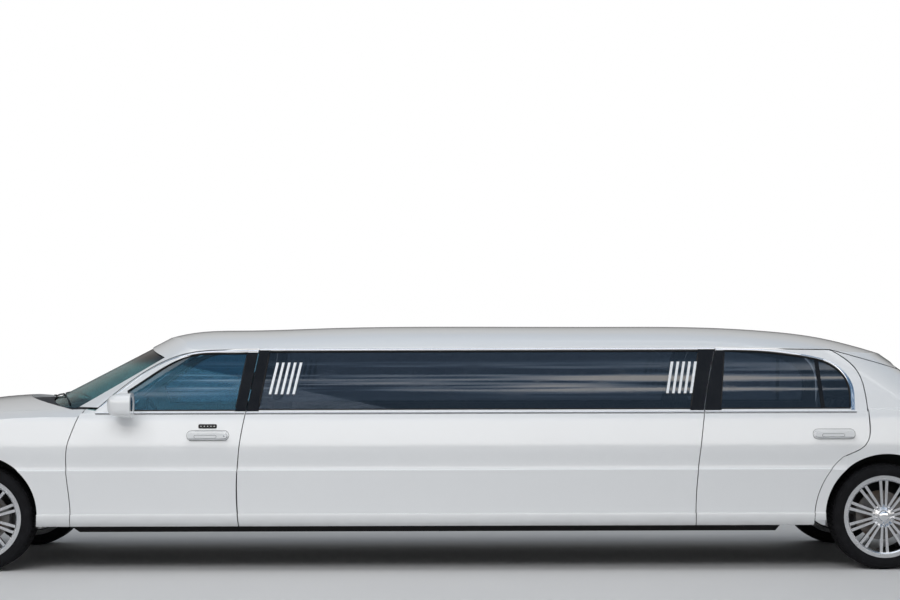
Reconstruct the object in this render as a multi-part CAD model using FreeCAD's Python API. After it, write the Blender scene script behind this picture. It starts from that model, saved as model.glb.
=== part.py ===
import FreeCAD, Part
import math
import os

from FreeCAD import Vector as V

# Stretch limousine. Millimetres, +Z up, the nose towards -X, the driver's side towards -Y.
# The origin lies on the ground, on the centre line, half way along the car.

# Overall sizes
LENGTH = 8520.0
FRONT_OVERHANG = 1070.0
WHEELBASE = 6038.0
ROOF_Z = 1635.0
ROCKER_Z = 300.0
CREASE_Z = 672.0
BELT_Z = 1054.0
DRIP_Z = 1484.0

NOSE_X = -LENGTH / 2
TAIL_X = LENGTH / 2
FRONT_AXLE_X = NOSE_X + FRONT_OVERHANG
REAR_AXLE_X = FRONT_AXLE_X + WHEELBASE

# Gaps and walls
SHUT_GAP = 6.0
SEAM = 0.5
SEAT_GAP = 0.3
DOOR_WALL_Y = 868.0
DOOR_SKIN_Y = 980.0
DOOR_DRAFT = 0.07
FRAME_DRAFT = 0.27
FRAME_LEAN_START = 4.0
DOOR_FRONT_ROOM = 100.0
DOOR_DEEPEST_Y = 655.0
DOOR_SCREEN_GAP = 14.0
SKIN_WALL = 38.0
LID_WALL = 30.0
PILLAR_WALL = 42.0
GLASS_INSET = 8.0
GLASS_THICKNESS = 6.0

# Slanted bars on the long windows
BAR_COUNT = 5
BAR_FIRST_X = (-1272.5, 1403.5)
BAR_PITCH = 39.7
BAR_WIDTH = 17.0
BAR_LEAN = 44.0
BAR_Z = (1176.0, 1388.0)
BAR_RISE = 3.0
BAR_GAP = 0.4

# Wheels
TYRE_RADIUS = 352.0
TYRE_WIDTH = 245.0
RIM_RADIUS = 274.0
WHEEL_Y = 833.0
SPOKE_PAIRS = 10
LUG_COUNT = 5
LUG_PCD = 114.3
LUG_HOLE_R = 8.0
HUB_BORE_R = 32.0
KINGPIN_INSET = 60.0
FRONT_ARCH_R = 400.0
REAR_ARCH_R = 415.0
FRONT_ARCH = (FRONT_AXLE_X - 15, TYRE_RADIUS + 26)
REAR_ARCH = (REAR_AXLE_X + 13, TYRE_RADIUS + 5)

# Body side in three bands, each level being height, half width, nose setback and tail setback
END_START = 1560.0
END_FULLNESS = 4.0
LOWER_BAND = (
    (ROCKER_Z, 960, 110, 90),
    (ROCKER_Z + 30, 984, 60, 50),
    (ROCKER_Z + 62, 992, 40, 30),
    (ROCKER_Z + 84, 990, 30, 22),
)
MIDDLE_BAND = (
    (ROCKER_Z + 84, 977, 22, 18),
    (530, 981, 0, 0),
    (CREASE_Z, 990, 25, 18),
)
UPPER_BAND = (
    (CREASE_Z, 985, 60, 40),
    (800, 982, 75, 45),
    (900, 968, 110, 60),
    (1000, 945, 180, 90),
    (BELT_Z, 925, 250, 120),
    (1090, 893, 330, 170),
    (1130, 830, 450, 260),
    (1190, 690, 700, 460),
)

# Crowned tops, each station being x, height on the centre line and height at the edge
HOOD_EDGE_Y = 780.0
HOOD_TOP = (
    (NOSE_X - 40, 868, 775),
    (-4150, 925, 835),
    (-3900, 1012, 922),
    (-3600, 1086, 992),
    (-3286, 1139, 1040),
    (-3034, 1159, 1062),
    (-2700, 1170, 1072),
    (-2420, 1174, 1076),
)
DECK_TOP = (
    (2600, 1150, 1092),
    (3300, 1136, 1078),
    (3700, 1122, 1062),
    (4000, 1100, 1040),
    (4180, 1072, 1012),
    (TAIL_X + 40, 1040, 980),
)
ROOF_EDGE_Y = 720.0
ROOF_TOP = (
    (-3200, 1160, 1110),
    (-2700, 1325, 1250),
    (-2330, 1462, 1378),
    (-2103, 1540, 1446),
    (-1924, 1587, 1467),
    (-1500, 1611, 1481),
    (-900, ROOF_Z - 8, 1486),
    (-140, ROOF_Z, 1488),
    (1028, ROOF_Z - 4, 1488),
    (1854, ROOF_Z - 15, 1487),
    (2211, 1597, 1480),
    (2528, 1558, 1460),
    (2748, 1508, 1424),
    (3009, 1428, 1366),
    (3230, 1352, 1300),
    (3620, 1235, 1200),
)

# Side outlines as runs of (x, z): a run starts at a corner and curves through its other points
FRONT_DOOR_FRONT = ((-2514, 1080), (-2551, 1000), (-2578, 928), (-2602, 853), (-2613, 770), (-2611, 669))
FRONT_DOOR_BOTTOM_X = -2590
FRONT_DOOR_REAR = ((-1459, ROCKER_Z - 20), (-1468, 726), (-1422, 1047), (-1347, DRIP_Z - 6))
FRONT_DOOR_TOP = ((-1347, DRIP_Z - 6), (-1612, 1474), (-1793, 1460), (-1971, 1411), (-2146, 1317), (-2434, 1071))
REAR_DOOR_FRONT = ((1586, ROCKER_Z - 20), (1598, 640), (1617, 799), (1655, 1065), (1756, DRIP_Z - 4))
REAR_DOOR_REAR = ((2537, 1466), (2629, 1407), (2694, 1341), (2731, 1255), (2746, 1157), (2752, 1015),
                  (2744, 882), (2716, 832), (2655, 790))
REAR_DOOR_ARCH = ((2575, 755), (2460, 628), (2393, 477), (2376, ROCKER_Z - 20))
FRONT_GLASS = (((-1425, 1453),), ((-1489, 1066),), ((-2190, 1066),),
               ((-2228, 1203), (-2100, 1290), (-1968, 1375), (-1837, 1430), (-1657, 1450)))
LONG_GLASS = (((-1281, 1462),), ((1642, 1462),), ((1566, 1070),), ((-1342, 1070),))
REAR_GLASS = (((1762, 1070),), ((1812, 1462), (2129, 1447), (2310, 1424), (2489, 1384), (2566, 1338),
                                (2622, 1270), (2642, 1198)), ((2636, 1070),))

# Greenhouse plan: side slope, and the windscreen and rear window lines as x at a height and run per rise
SIDE_BELT_Y = 902.0
SIDE_LEAN = 0.434
SCREEN_CENTRE = (-2781, 1180, 1.945)
SCREEN_CORNER = (-2539, 1076, 1.511)
BACK_CENTRE = (3009, 1428, -1.39)
BACK_CORNER = (2926, 1370, -1.45)
GREENHOUSE_LEVELS = (1030, 1180, 1330, 1480, 1680)
ROOF_MIDDLE_Y = 300.0
COWL_LIP_Z = 1090.0

# Hood, lids and their pivots
HOOD_SIDE_Y = 777.0
HOOD_LIP_Z = 880.0
HOOD_REAR_CENTRE_X = -3034
HOOD_REAR_CORNER_X = -2610
LID_FRONT_X = 3470.0
LID_SIDE_Y = 700.0
LID_TAIL_Y = 500.0
LID_LIP_Z = 716.0

# Front and rear end pieces
BUMPER_TOP_Z = 684.0
BUMPER_FRONT_END_X = -3652.0
BUMPER_REAR_END_X = 3330.0
LAMP_TOP_Z = 866.0
HEADLAMP_REAR_X = -3900.0
GRILLE_HALF_WIDTH = 330.0
GRILLE_Z = (566.0, 900.0)
GRILLE_BARS = 17
TAIL_LAMP_Z = (720.0, 930.0)
TAIL_LAMP_FRONT_X = 4010.0
TAIL_LAMP_INNER_Y = 506.0

# Floor and frame
FLOOR_Z = 330.0
FLOOR_THICKNESS = 16.0
SILL_WIDTH = 95.0
SILL_TOP_Z = 430.0
TUNNEL_HALF_WIDTH = 110.0
TUNNEL_TOP_Z = 440.0
RAIL_INNER_Y = 380.0
RAIL_WIDTH = 80.0
RAIL_BOTTOM_Z = 215.0
RAIL_TOP_Z = FLOOR_Z - FLOOR_THICKNESS
FIREWALL_X = -2640.0
FIREWALL_THICKNESS = 12.0
COWL_SHELF_Z = 1000.0
COWL_SHELF_Y = 720.0
HOOD_POST_X = -2960.0
HOOD_POST_Y = (510.0, 560.0)
STEP_Z = 560.0
STEP_X = 2150.0
STEP_HALF_WIDTH = 600.0
SILL_END_X = 2360.0
RAIL_HORN_TOP_Z = 450.0
RAIL_SPLICES = (-2620.0, 2200.0)
LINER_THICKNESS = 6.0
LINER_HIDDEN = 12.0
LINER_OUTER_Y = 858.0
FRONT_LINER_Y = 500.0
FRONT_LINER_Z = 482.0
LINER_FOOT_X = (-3480.0, -2930.0)
LINER_FOOT_LENGTH = 140.0
REAR_LINER_Z = 400.0
BOOT_END_X = 4100.0
CROSS_MEMBER_HEIGHT = 35.0

# Cabin and running gear
STEERING_CENTRE = (-2090, -390, 960)
COLUMN_RADIUS = 24.0
HUB_FACE_FRONT = 30.0
HUB_FACE_REAR = 66.0
SHAFT_RADIUS = 38.0
PIPE_RADIUS = 24.0
PIPE_Y = 250.0
PIPE_Z = 281.0
ARM_LOW_Z = 232.0
ARM_THICKNESS = 22.0
ARM_HIGH_Z = 450.0

FAR = 1200.0


def box(x0, x1, y0, y1, z0, z1):
    return Part.makeBox(x1 - x0, y1 - y0, z1 - z0, V(x0, y0, z0))


def mirrored(shape):
    return shape.mirror(V(0, 0, 0), V(0, 1, 0))


def pair(shape):
    return Part.Compound([shape, mirrored(shape)])


def curve(points, start=None, end=None):
    """One smooth edge through points, with its end directions where they are given."""
    line = Part.BSplineCurve()
    if start:
        line.interpolate(Points=points, InitialTangent=start, FinalTangent=end)
    else:
        line.interpolate(points)
    return line.toShape()


def straight(a, b):
    return Part.LineSegment(a, b).toShape()


def grown(runs, distance):
    """The closed outline of runs moved outwards, each point along its mitre."""
    flat = [point for run in runs for point in run]
    count = len(flat)
    area = sum(flat[i - 1][0] * flat[i][1] - flat[i][0] * flat[i - 1][1] for i in range(count))
    side = 1 if area > 0 else -1
    moved = []
    for i, (a, b) in enumerate(flat):
        before, after = flat[i - 1], flat[(i + 1) % count]
        u = V(a - before[0], b - before[1], 0).normalize()
        v = V(after[0] - a, after[1] - b, 0).normalize()
        mitre = V((u.y + v.y) * side, -(u.x + v.x) * side, 0) * (distance / (1 + u.dot(v)))
        moved.append((a + mitre.x, b + mitre.y))
    result = []
    for run in runs:
        result.append(tuple(moved[:len(run)]))
        moved = moved[len(run):]
    return result


def outline_wire(runs, place):
    """Closed wire of runs: a run curves from its corner to the next run's corner."""
    edges = []
    for i, run in enumerate(runs):
        points = [place(*point) for point in run] + [place(*runs[(i + 1) % len(runs)][0])]
        edges.append(straight(*points) if len(points) == 2 else curve(points))
    return Part.Wire(edges)


def side_prism(runs, y0=-FAR, y1=0.0, offset=0.0):
    """Solid across the car from a side outline."""
    wire = outline_wire(grown(runs, offset), lambda x, z: V(x, y0, z))
    return Part.Face(wire).extrude(V(0, y1 - y0, 0))


def side_y(z, inset):
    """Half width of the glass house at a height."""
    return SIDE_BELT_Y - SIDE_LEAN * (z - BELT_Z) - inset * 1.09


def door_lean(z, y):
    """How far a door's rear edge stands forward at a depth below the outer skin."""
    if z > BELT_Z - 10:
        return FRAME_DRAFT * (side_y(z, -FRAME_LEAN_START) + y)
    return DOOR_DRAFT * (DOOR_SKIN_Y + y)


def door_prism(runs):
    """Door outline whose rear edge leans forwards inboard, so that it swings clear of the post."""
    cut = side_prism(runs, -FAR, -DOOR_DEEPEST_Y, -SHUT_GAP / 2)
    cut = cut.cut(front_prism(SCREEN_VIEW, -3200, -1800, DOOR_SCREEN_GAP))
    inner = grown(runs, -SHUT_GAP / 2)
    middle = sum(x for run in inner for x, _ in run) / sum(len(run) for run in inner)
    lean = [outline_wire(inner, lambda x, z: V(x - (door_lean(z, y) if x > middle else DOOR_FRONT_ROOM), y, z))
            for y in (-FAR, -DOOR_DEEPEST_Y)]
    return cut.common(Part.makeLoft(lean, True, True))


def front_prism(runs, x0, x1, offset=0.0):
    """Solid along the car from an outline of (y, z) points."""
    wire = outline_wire(grown(runs, offset), lambda y, z: V(x0, y, z))
    return Part.Face(wire).extrude(V(x1 - x0, 0, 0))


def plan_prism(runs, z0, z1, offset=0.0):
    """Upright solid from an outline of (x, y) points."""
    wire = outline_wire(grown(runs, offset), lambda x, y: V(x, y, z0))
    return Part.Face(wire).extrude(V(0, 0, z1 - z0))


def rounded_end(x0, x1, half, z):
    """Superellipse end of the body plan, from the driver's side round to the other side."""
    points = []
    steps = 8
    for i in range(-steps, steps + 1):
        angle = math.pi / 2 * i / steps
        reach = abs(math.cos(angle)) ** (2 / END_FULLNESS) if abs(i) < steps else 0.0
        spread = abs(math.sin(angle)) ** (2 / END_FULLNESS)
        points.append(V(x0 + (x1 - x0) * reach, math.copysign(half * spread, i), z))
    way = V(math.copysign(1, x1 - x0), 0, 0)
    return curve(points, way, way * -1)


def body_wire(z, half, nose_x, tail_x):
    front_x, rear_x = NOSE_X + END_START, TAIL_X - END_START
    return Part.Wire([
        rounded_end(front_x, nose_x, half, z),
        straight(V(front_x, half, z), V(rear_x, half, z)),
        rounded_end(rear_x, tail_x, half, z),
        straight(V(rear_x, -half, z), V(front_x, -half, z)),
    ])


def body_band(levels, wall=0.0, ruled=False):
    wires = [body_wire(z, half - wall, NOSE_X + nose + wall, TAIL_X - tail - wall)
             for z, half, nose, tail in levels]
    return Part.makeLoft(wires, True, ruled)


def crown(stations, edge_y, drop=0.0, power=2.0, bottom=100.0):
    """Solid under a crowned surface that runs along the car."""
    wires = []
    far = edge_y * 1.3
    for x, centre, edge in stations:
        top = [V(x, far * s, centre - drop - (centre - edge) * abs(far * s / edge_y) ** power)
               for s in (-1, -0.86, -0.6, -0.3, 0, 0.3, 0.6, 0.86, 1)]
        low = [V(x, far, bottom), V(x, -far, bottom)]
        wires.append(Part.Wire([curve(top), straight(top[-1], low[0]), straight(*low),
                                straight(low[1], top[0])]))
    return Part.makeLoft(wires, True, False)


def line_x(line, z):
    x, height, run = line
    return x + run * (z - height)


def greenhouse(inset):
    """The glass house between belt and roof, moved inwards by inset."""
    wires = []
    for z in GREENHOUSE_LEVELS:
        side = side_y(z, inset)
        ends = []
        for centre, corner, slant, turn, reach in (
                (SCREEN_CENTRE, SCREEN_CORNER, 2.1, 112, 190), (BACK_CENTRE, BACK_CORNER, -1.7, 150, 330)):
            way = 1 if slant > 0 else -1
            mid_x = line_x(centre, z) + slant * inset
            corner_x = line_x(corner, z) + slant * inset
            corner_y = side - turn
            half = [(corner_x + way * reach, side), (corner_x + way * reach * 0.34, side - turn * 0.42),
                    (corner_x, corner_y)]
            half += [(mid_x + (corner_x - mid_x) * f ** 2.2, corner_y * f) for f in (0.68, 0.36)]
            points = [V(x, -y, z) for x, y in half] + [V(mid_x, 0, z)] + [V(x, y, z) for x, y in half[::-1]]
            ends.append(curve(points, V(-way, 0, 0), V(way, 0, 0)))
        front, rear = ends
        wires.append(Part.Wire([
            front, straight(front.Vertexes[-1].Point, rear.Vertexes[-1].Point),
            rear, straight(rear.Vertexes[0].Point, front.Vertexes[0].Point)]))
    house = Part.makeLoft(wires, True, False)
    return house.common(crown(ROOF_TOP, ROOF_EDGE_Y, inset, 2.6, 900))


FRONT_DOOR = (
    FRONT_DOOR_FRONT,
    ((FRONT_DOOR_BOTTOM_X, ROCKER_Z - 20),),
    FRONT_DOOR_REAR[:-2],
    FRONT_DOOR_REAR[-2:-1],
    FRONT_DOOR_TOP[:-1],
    FRONT_DOOR_TOP[-1:],
)
REAR_DOOR = (
    REAR_DOOR_FRONT[:-1],
    (REAR_DOOR_FRONT[-1],),
    REAR_DOOR_REAR,
    REAR_DOOR_ARCH[:-1],
    (REAR_DOOR_ARCH[-1],),
)
STRETCH_SIDE = (
    FRONT_DOOR_REAR[:-2],
    FRONT_DOOR_REAR[-2:-1],
    ((FRONT_DOOR_REAR[-1][0], FRONT_DOOR_REAR[-1][1] + SHUT_GAP - SEAM),),
    ((REAR_DOOR_FRONT[-1][0], REAR_DOOR_FRONT[-1][1] + SHUT_GAP - SEAM),) + REAR_DOOR_FRONT[-2:0:-1],
    (REAR_DOOR_FRONT[0],),
)
FENDER_SIDE = (
    FRONT_DOOR_FRONT,
    ((FRONT_DOOR_BOTTOM_X, ROCKER_Z - 20),),
    ((FRONT_DOOR_BOTTOM_X, 200),),
    ((NOSE_X - 100, 200),),
    ((NOSE_X - 100, 1300),),
    ((-2514, 1300),),
)
QUARTER_SIDE = (
    REAR_DOOR_REAR[:1],
    ((3290, 1262),),
    ((TAIL_X + 100, 1262),),
    ((TAIL_X + 100, 200),),
    ((2376, 200),),
    REAR_DOOR_ARCH[:0:-1],
    (REAR_DOOR_ARCH[0],) + REAR_DOOR_REAR[:0:-1],
)
BELOW_ROOF = (
    FRONT_DOOR_TOP[:-1],
    (FRONT_DOOR_TOP[-1],),
    ((-2514, 1074),),
    ((-3300, 1074),),
    ((-3300, 900),),
    ((3800, 900),),
    ((3800, 1121),),
    (REAR_DOOR_REAR[0],),
    (REAR_DOOR_FRONT[-1],),
)
SCREEN_VIEW = (((-722, 1082), (0, 1070)), ((722, 1082),), ((640, 1424), (330, 1478), (0, 1500), (-330, 1478)),
               ((-640, 1424),))
BACK_VIEW = (((-640, 1176),), ((640, 1176),), ((548, 1338), (290, 1378), (0, 1392), (-290, 1378)),
             ((-548, 1338),))


def hood_plan():
    span = HOOD_REAR_CORNER_X - HOOD_REAR_CENTRE_X
    rear = [(HOOD_REAR_CENTRE_X + span * abs(s) ** 2.2, HOOD_SIDE_Y * s) for s in (-1, -0.7, -0.35, 0, 0.35, 0.7)]
    side = [(HOOD_REAR_CORNER_X, HOOD_SIDE_Y), (-2950, 775), (-3300, 764), (-3600, 738), (-3850, 694)]
    far_side = [(x, -y) for x, y in side[::-1]]
    return (tuple(rear), tuple(side[:-1]), (side[-1],), ((NOSE_X - 100, 590),), ((NOSE_X - 100, -590),),
            tuple(far_side[:-1]))


def lid_plan():
    y, tail_y = LID_SIDE_Y, LID_TAIL_Y
    return (((LID_FRONT_X, -y),), ((LID_FRONT_X, y),), ((3960, y),), ((4090, tail_y),), ((TAIL_X + 100, tail_y),),
            ((TAIL_X + 100, -tail_y),), ((4090, -tail_y),), ((3960, -y),))


def wheel_cut(arch, radius, y0=-FAR, y1=-600.0):
    return Part.makeCylinder(radius, y1 - y0, V(arch[0], y0, arch[1]), V(0, 1, 0))


def capsule_prism(cx, cz, length, height, y0, y1):
    """Rounded bar seen from the side."""
    r = height / 2
    a, b = cx - length / 2 + r, cx + length / 2 - r
    wire = Part.Wire([
        straight(V(a, y0, cz + r), V(b, y0, cz + r)),
        Part.Arc(V(b, y0, cz + r), V(b + r, y0, cz), V(b, y0, cz - r)).toShape(),
        straight(V(b, y0, cz - r), V(a, y0, cz - r)),
        Part.Arc(V(a, y0, cz - r), V(a - r, y0, cz), V(a, y0, cz + r)).toShape(),
    ])
    return Part.Face(wire).extrude(V(0, y1 - y0, 0))


class Shells:
    """The nested surfaces that every panel is cut from."""

    def __init__(self):
        bands = [body_band(levels) for levels in (LOWER_BAND, MIDDLE_BAND, UPPER_BAND)]
        self.lower = bands[0].fuse(bands[1:])
        inner_levels = ((ROCKER_Z - 60, DOOR_WALL_Y, 160, 160), (760, DOOR_WALL_Y, 160, 160),
                        (BELT_Z + 30, DOOR_WALL_Y - 50, 300, 300))
        self.lower_inner = body_band(inner_levels, 0.0, True)
        skin_levels = [(z, half, nose, tail) for z, half, nose, tail in
                       ((ROCKER_Z - 60, 962, 60, 60), (530, 976, 25, 25), (800, 980, 75, 45)) + UPPER_BAND[2:]]
        self.skin_inner = body_band(skin_levels, SKIN_WALL)
        self.lid_inner = body_band(skin_levels, LID_WALL)
        self.house = greenhouse(0)
        self.house_inner = greenhouse(PILLAR_WALL)
        self.house_shell = self.house.cut(self.house_inner)
        self.glass_shell = greenhouse(GLASS_INSET).cut(greenhouse(GLASS_INSET + GLASS_THICKNESS))
        hood_crown = crown(HOOD_TOP, HOOD_EDGE_Y)
        deck_crown = crown(DECK_TOP, HOOD_EDGE_Y)
        self.front = self.lower.common(hood_crown)
        self.rear = self.lower.common(deck_crown)
        self.front_skin = self.front.cut(self.skin_inner.common(crown(HOOD_TOP, HOOD_EDGE_Y, SKIN_WALL)))
        self.rear_skin = self.rear.cut(self.skin_inner.common(crown(DECK_TOP, HOOD_EDGE_Y, SKIN_WALL)))
        self.hood_skin = self.front.cut(self.lid_inner.common(crown(HOOD_TOP, HOOD_EDGE_Y, LID_WALL)))
        self.lid_skin = self.rear.cut(self.lid_inner.common(crown(DECK_TOP, HOOD_EDGE_Y, LID_WALL)))
        cabin = self.lower.common(box(-3000, 3000, -FAR, FAR, ROCKER_Z, BELT_Z))
        self.cabin_wall = cabin.cut(self.lower_inner)


def door(shells, runs, glass_runs):
    """Lower wall and window frame of one driver's side door, cut round its shut line."""
    cut = door_prism(runs)
    lower = shells.cabin_wall.common(cut)
    frame = shells.house_shell.common(cut)
    opening = side_prism(glass_runs)
    return lower.fuse(frame).cut(opening).removeSplitter()


def side_glass(shells, runs):
    return shells.glass_shell.common(side_prism(runs, -FAR, 0.0, -SEAT_GAP))


def handle(skin_y, cx, cz):
    """Oval pull handle: two feet on the door skin and a bar that a hand goes behind."""
    bar = capsule_prism(cx, cz, 262, 34, -skin_y - 44, -skin_y - 28)
    feet = [capsule_prism(cx + side * 104, cz, 54, 34, -skin_y - 30, -skin_y + 12) for side in (-1, 1)]
    return bar.fuse(feet)


def front_door(shells):
    panel = door(shells, FRONT_DOOR, FRONT_GLASS)
    return panel.fuse(handle(967, -1668, 905)).cut(wheel_cut(FRONT_ARCH, FRONT_ARCH_R + 20))


def rear_door(shells):
    panel = door(shells, REAR_DOOR, REAR_GLASS)
    return panel.fuse(handle(967, 2509, 905)).cut(wheel_cut(REAR_ARCH, REAR_ARCH_R + 40))


def mirror_housing():
    """Door mirror: a rounded shell on a short arm."""
    sections = []
    for x, y_half, z_half in ((-2312, 34, 36), (-2290, 70, 62), (-2240, 90, 76), (-2154, 96, 80)):
        points = []
        for i in range(16):
            angle = 2 * math.pi * i / 16
            c, s = math.cos(angle), math.sin(angle)
            points.append(V(x, -1078 + y_half * math.copysign(abs(c) ** 0.7, c),
                            1112 + z_half * math.copysign(abs(s) ** 0.7, s)))
        loop = Part.BSplineCurve()
        loop.interpolate(points, PeriodicFlag=True)
        sections.append(Part.Wire(loop.toShape()))
    housing = Part.makeLoft(sections, True, False)
    glass_pocket = Part.makeCylinder(58, 12, V(-2166, -1078, 1112), V(1, 0, 0))
    low, high = BELT_Z + SEAT_GAP, 1096
    arm = front_prism((((-1000, low),), ((-side_y(low, -SEAT_GAP), low),), ((-side_y(high, -SEAT_GAP), high),),
                       ((-1000, high),)), -2270, -2195)
    return housing.fuse(arm).cut(glass_pocket)


def stretch_panel(shells):
    cut = side_prism(STRETCH_SIDE, -FAR, -600.0, -SHUT_GAP / 2)
    lower = shells.cabin_wall.common(cut)
    frame = shells.house_shell.common(cut)
    return lower.fuse(frame).cut(side_prism(LONG_GLASS)).removeSplitter()


def window_bars():
    """Five slanted bars at each end of the long window, standing on the glass."""
    corners = [(z, inset) for z, inset in ((BAR_Z[0], -BAR_RISE), (BAR_Z[0], GLASS_INSET - BAR_GAP),
                                           (BAR_Z[1], GLASS_INSET - BAR_GAP), (BAR_Z[1], -BAR_RISE))]
    layer = front_prism([((-side_y(z, inset), z),) for z, inset in corners], -2000, 2000)
    bars = []
    for first_x in BAR_FIRST_X:
        for i in range(BAR_COUNT):
            foot, head = first_x + BAR_PITCH * i, first_x + BAR_PITCH * i + BAR_LEAN
            bars.append(layer.common(side_prism((
                ((foot, BAR_Z[0]),), ((foot + BAR_WIDTH, BAR_Z[0]),),
                ((head + BAR_WIDTH, BAR_Z[1]),), ((head, BAR_Z[1]),)))))
    return Part.Compound(bars + [mirrored(bar) for bar in bars])


def roof_panel(shells):
    """Roof with its rails, the windscreen pillars and the header."""
    half = shells.house_shell.common(box(-4000, 4000, -FAR, 0, 1000, 2000))
    half = half.cut(side_prism(BELOW_ROOF, -FAR, -ROOF_MIDDLE_Y, SHUT_GAP / 2))
    half = half.cut([box(-3300, -2350, -FAR, FAR, 900, COWL_LIP_Z + SEAM),
                     box(2700, 3800, -FAR, FAR, 900, BACK_VIEW[0][0][1] + SEAM)])
    half = half.cut([front_prism(SCREEN_VIEW, -3200, -1800), front_prism(BACK_VIEW, 2500, 3600)])
    return half.fuse(mirrored(half))


def windscreen(shells):
    return shells.glass_shell.common(front_prism(SCREEN_VIEW, -3200, -1800, -SEAT_GAP))


def rear_window(shells):
    return shells.glass_shell.common(front_prism(BACK_VIEW, 2500, 3600, -SEAT_GAP))


def quarter_panel(shells):
    cut = side_prism(QUARTER_SIDE, -FAR, 0.0, -SHUT_GAP / 2)
    pillar = shells.house_shell.common(cut).cut(front_prism(BACK_VIEW, 2500, 3600))
    pillar = pillar.cut(box(2300, 3700, -600, FAR, 900, 1176))
    side = shells.rear_skin.common(cut)
    panel = side.fuse(pillar)
    lid = plan_prism(lid_plan(), 400, 1300, SHUT_GAP)
    deck = box(2300, LID_FRONT_X, -600 - SEAM, FAR, 900, 1176)
    bumper = box(BUMPER_REAR_END_X - SHUT_GAP, TAIL_X + 100, -FAR, FAR, 200, BUMPER_TOP_Z + SEAM)
    lamp = box(TAIL_LAMP_FRONT_X - SEAM, TAIL_X + 100, -FAR, 0, TAIL_LAMP_Z[0] - SEAM, TAIL_LAMP_Z[1] + SEAM)
    inner = box(2300, 4400, -600, FAR, 0, 1600).common(box(2300, 4400, -600, FAR, 0, 1165))
    panel = panel.cut([lid, deck, bumper, lamp, inner, wheel_cut(REAR_ARCH, REAR_ARCH_R)])
    under = LID_WALL + SEAT_GAP
    gutter = crown(DECK_TOP, HOOD_EDGE_Y, under).cut(crown(DECK_TOP, HOOD_EDGE_Y, under + 16))
    gutter = gutter.common(box(LID_FRONT_X + 20, 3940, -LID_SIDE_Y - 30, -LID_SIDE_Y + 14, 900, 1200))
    return panel.fuse(gutter)


def rear_deck(shells):
    """Shelf between the rear window and the boot lid, with the window's lower frame."""
    zone = box(2900, LID_FRONT_X - SHUT_GAP, -600, 600, 1040, 1176)
    frame = shells.house_shell.common(zone)
    shelf = shells.rear_skin.common(box(2900, LID_FRONT_X - SHUT_GAP, -600, 600, 900, 1176))
    return shelf.fuse(frame).removeSplitter()


def front_fender(shells):
    cut = side_prism(FENDER_SIDE, -FAR, 0.0, -SHUT_GAP / 2)
    hood = plan_prism(hood_plan(), HOOD_LIP_Z - SHUT_GAP, 1300, SHUT_GAP)
    bumper = box(NOSE_X - 100, BUMPER_FRONT_END_X + SEAM, -FAR, FAR, 200, BUMPER_TOP_Z + SEAM)
    lamp = box(NOSE_X - 100, HEADLAMP_REAR_X + SEAM, -FAR, FAR, BUMPER_TOP_Z, LAMP_TOP_Z + SEAM)
    middle = box(NOSE_X - 100, -2300, -560, FAR, 200, 1300)
    cowl = box(-2900, -2300, -HOOD_SIDE_Y, FAR, 900, 1300)
    return shells.front_skin.common(cut).cut([hood, bumper, lamp, middle, cowl,
                                              wheel_cut(FRONT_ARCH, FRONT_ARCH_R)])


def hood(shells):
    panel = shells.hood_skin.common(plan_prism(hood_plan(), HOOD_LIP_Z, 1300))
    notch = box(NOSE_X - 100, -4000, -GRILLE_HALF_WIDTH - SHUT_GAP, GRILLE_HALF_WIDTH + SHUT_GAP,
                600, GRILLE_Z[1] + 8)
    return panel.cut(notch)


def trunk_lid(shells):
    zone = plan_prism(lid_plan(), LID_LIP_Z, 1300)
    return shells.lid_skin.common(zone)


def front_bumper(shells):
    zone = box(NOSE_X - 100, BUMPER_FRONT_END_X, -FAR, FAR, ROCKER_Z, BUMPER_TOP_Z)
    notch = box(NOSE_X - 100, -4000, -GRILLE_HALF_WIDTH - SEAM, GRILLE_HALF_WIDTH + SEAM, GRILLE_Z[0] - SEAM, 800)
    return shells.front_skin.common(zone).cut([notch, wheel_cut(FRONT_ARCH, FRONT_ARCH_R, -FAR, FAR)])


def rear_bumper(shells):
    low = box(BUMPER_REAR_END_X, TAIL_X + 100, -FAR, FAR, ROCKER_Z, BUMPER_TOP_Z)
    tail = box(3900, TAIL_X + 100, -LID_TAIL_Y, LID_TAIL_Y, BUMPER_TOP_Z - 1, LID_LIP_Z - SHUT_GAP)
    skin = shells.rear_skin
    return skin.common(low.fuse(tail)).cut(wheel_cut(REAR_ARCH, REAR_ARCH_R, -FAR, FAR))


def grille():
    """Upright chrome surround with a row of vertical bars."""
    z0, z1 = GRILLE_Z
    half = GRILLE_HALF_WIDTH
    x0, x1 = NOSE_X + 40, NOSE_X + 96
    outer = (((-half, z0 + 40), (-half + 14, z0 + 12)), ((-half + 44, z0),), ((half - 44, z0), (half - 14, z0 + 12)),
             ((half, z0 + 40),), ((half, z1),), ((-half, z1),))
    frame = front_prism(outer, x0, x1).cut(front_prism(outer, x0 - 1, x1 + 1, -26))
    pitch = 2 * (half - 26) / (GRILLE_BARS + 1)
    bars = []
    for i in range(GRILLE_BARS):
        y = -half + 26 + pitch * (i + 1)
        bars.append(box(x0 + 10, x1 - 8, y - 6, y + 6, z0 + 20, z1 - 20))
    return frame.fuse(bars)


def headlamp(shells):
    zone = box(NOSE_X - 100, HEADLAMP_REAR_X, -FAR, -GRILLE_HALF_WIDTH - 12, BUMPER_TOP_Z + SEAM, LAMP_TOP_Z)
    return shells.front_skin.common(zone)


def tail_lamp(shells):
    zone = box(TAIL_LAMP_FRONT_X, TAIL_X + 100, -FAR, -TAIL_LAMP_INNER_Y, *TAIL_LAMP_Z)
    return shells.rear_skin.common(zone)


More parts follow.
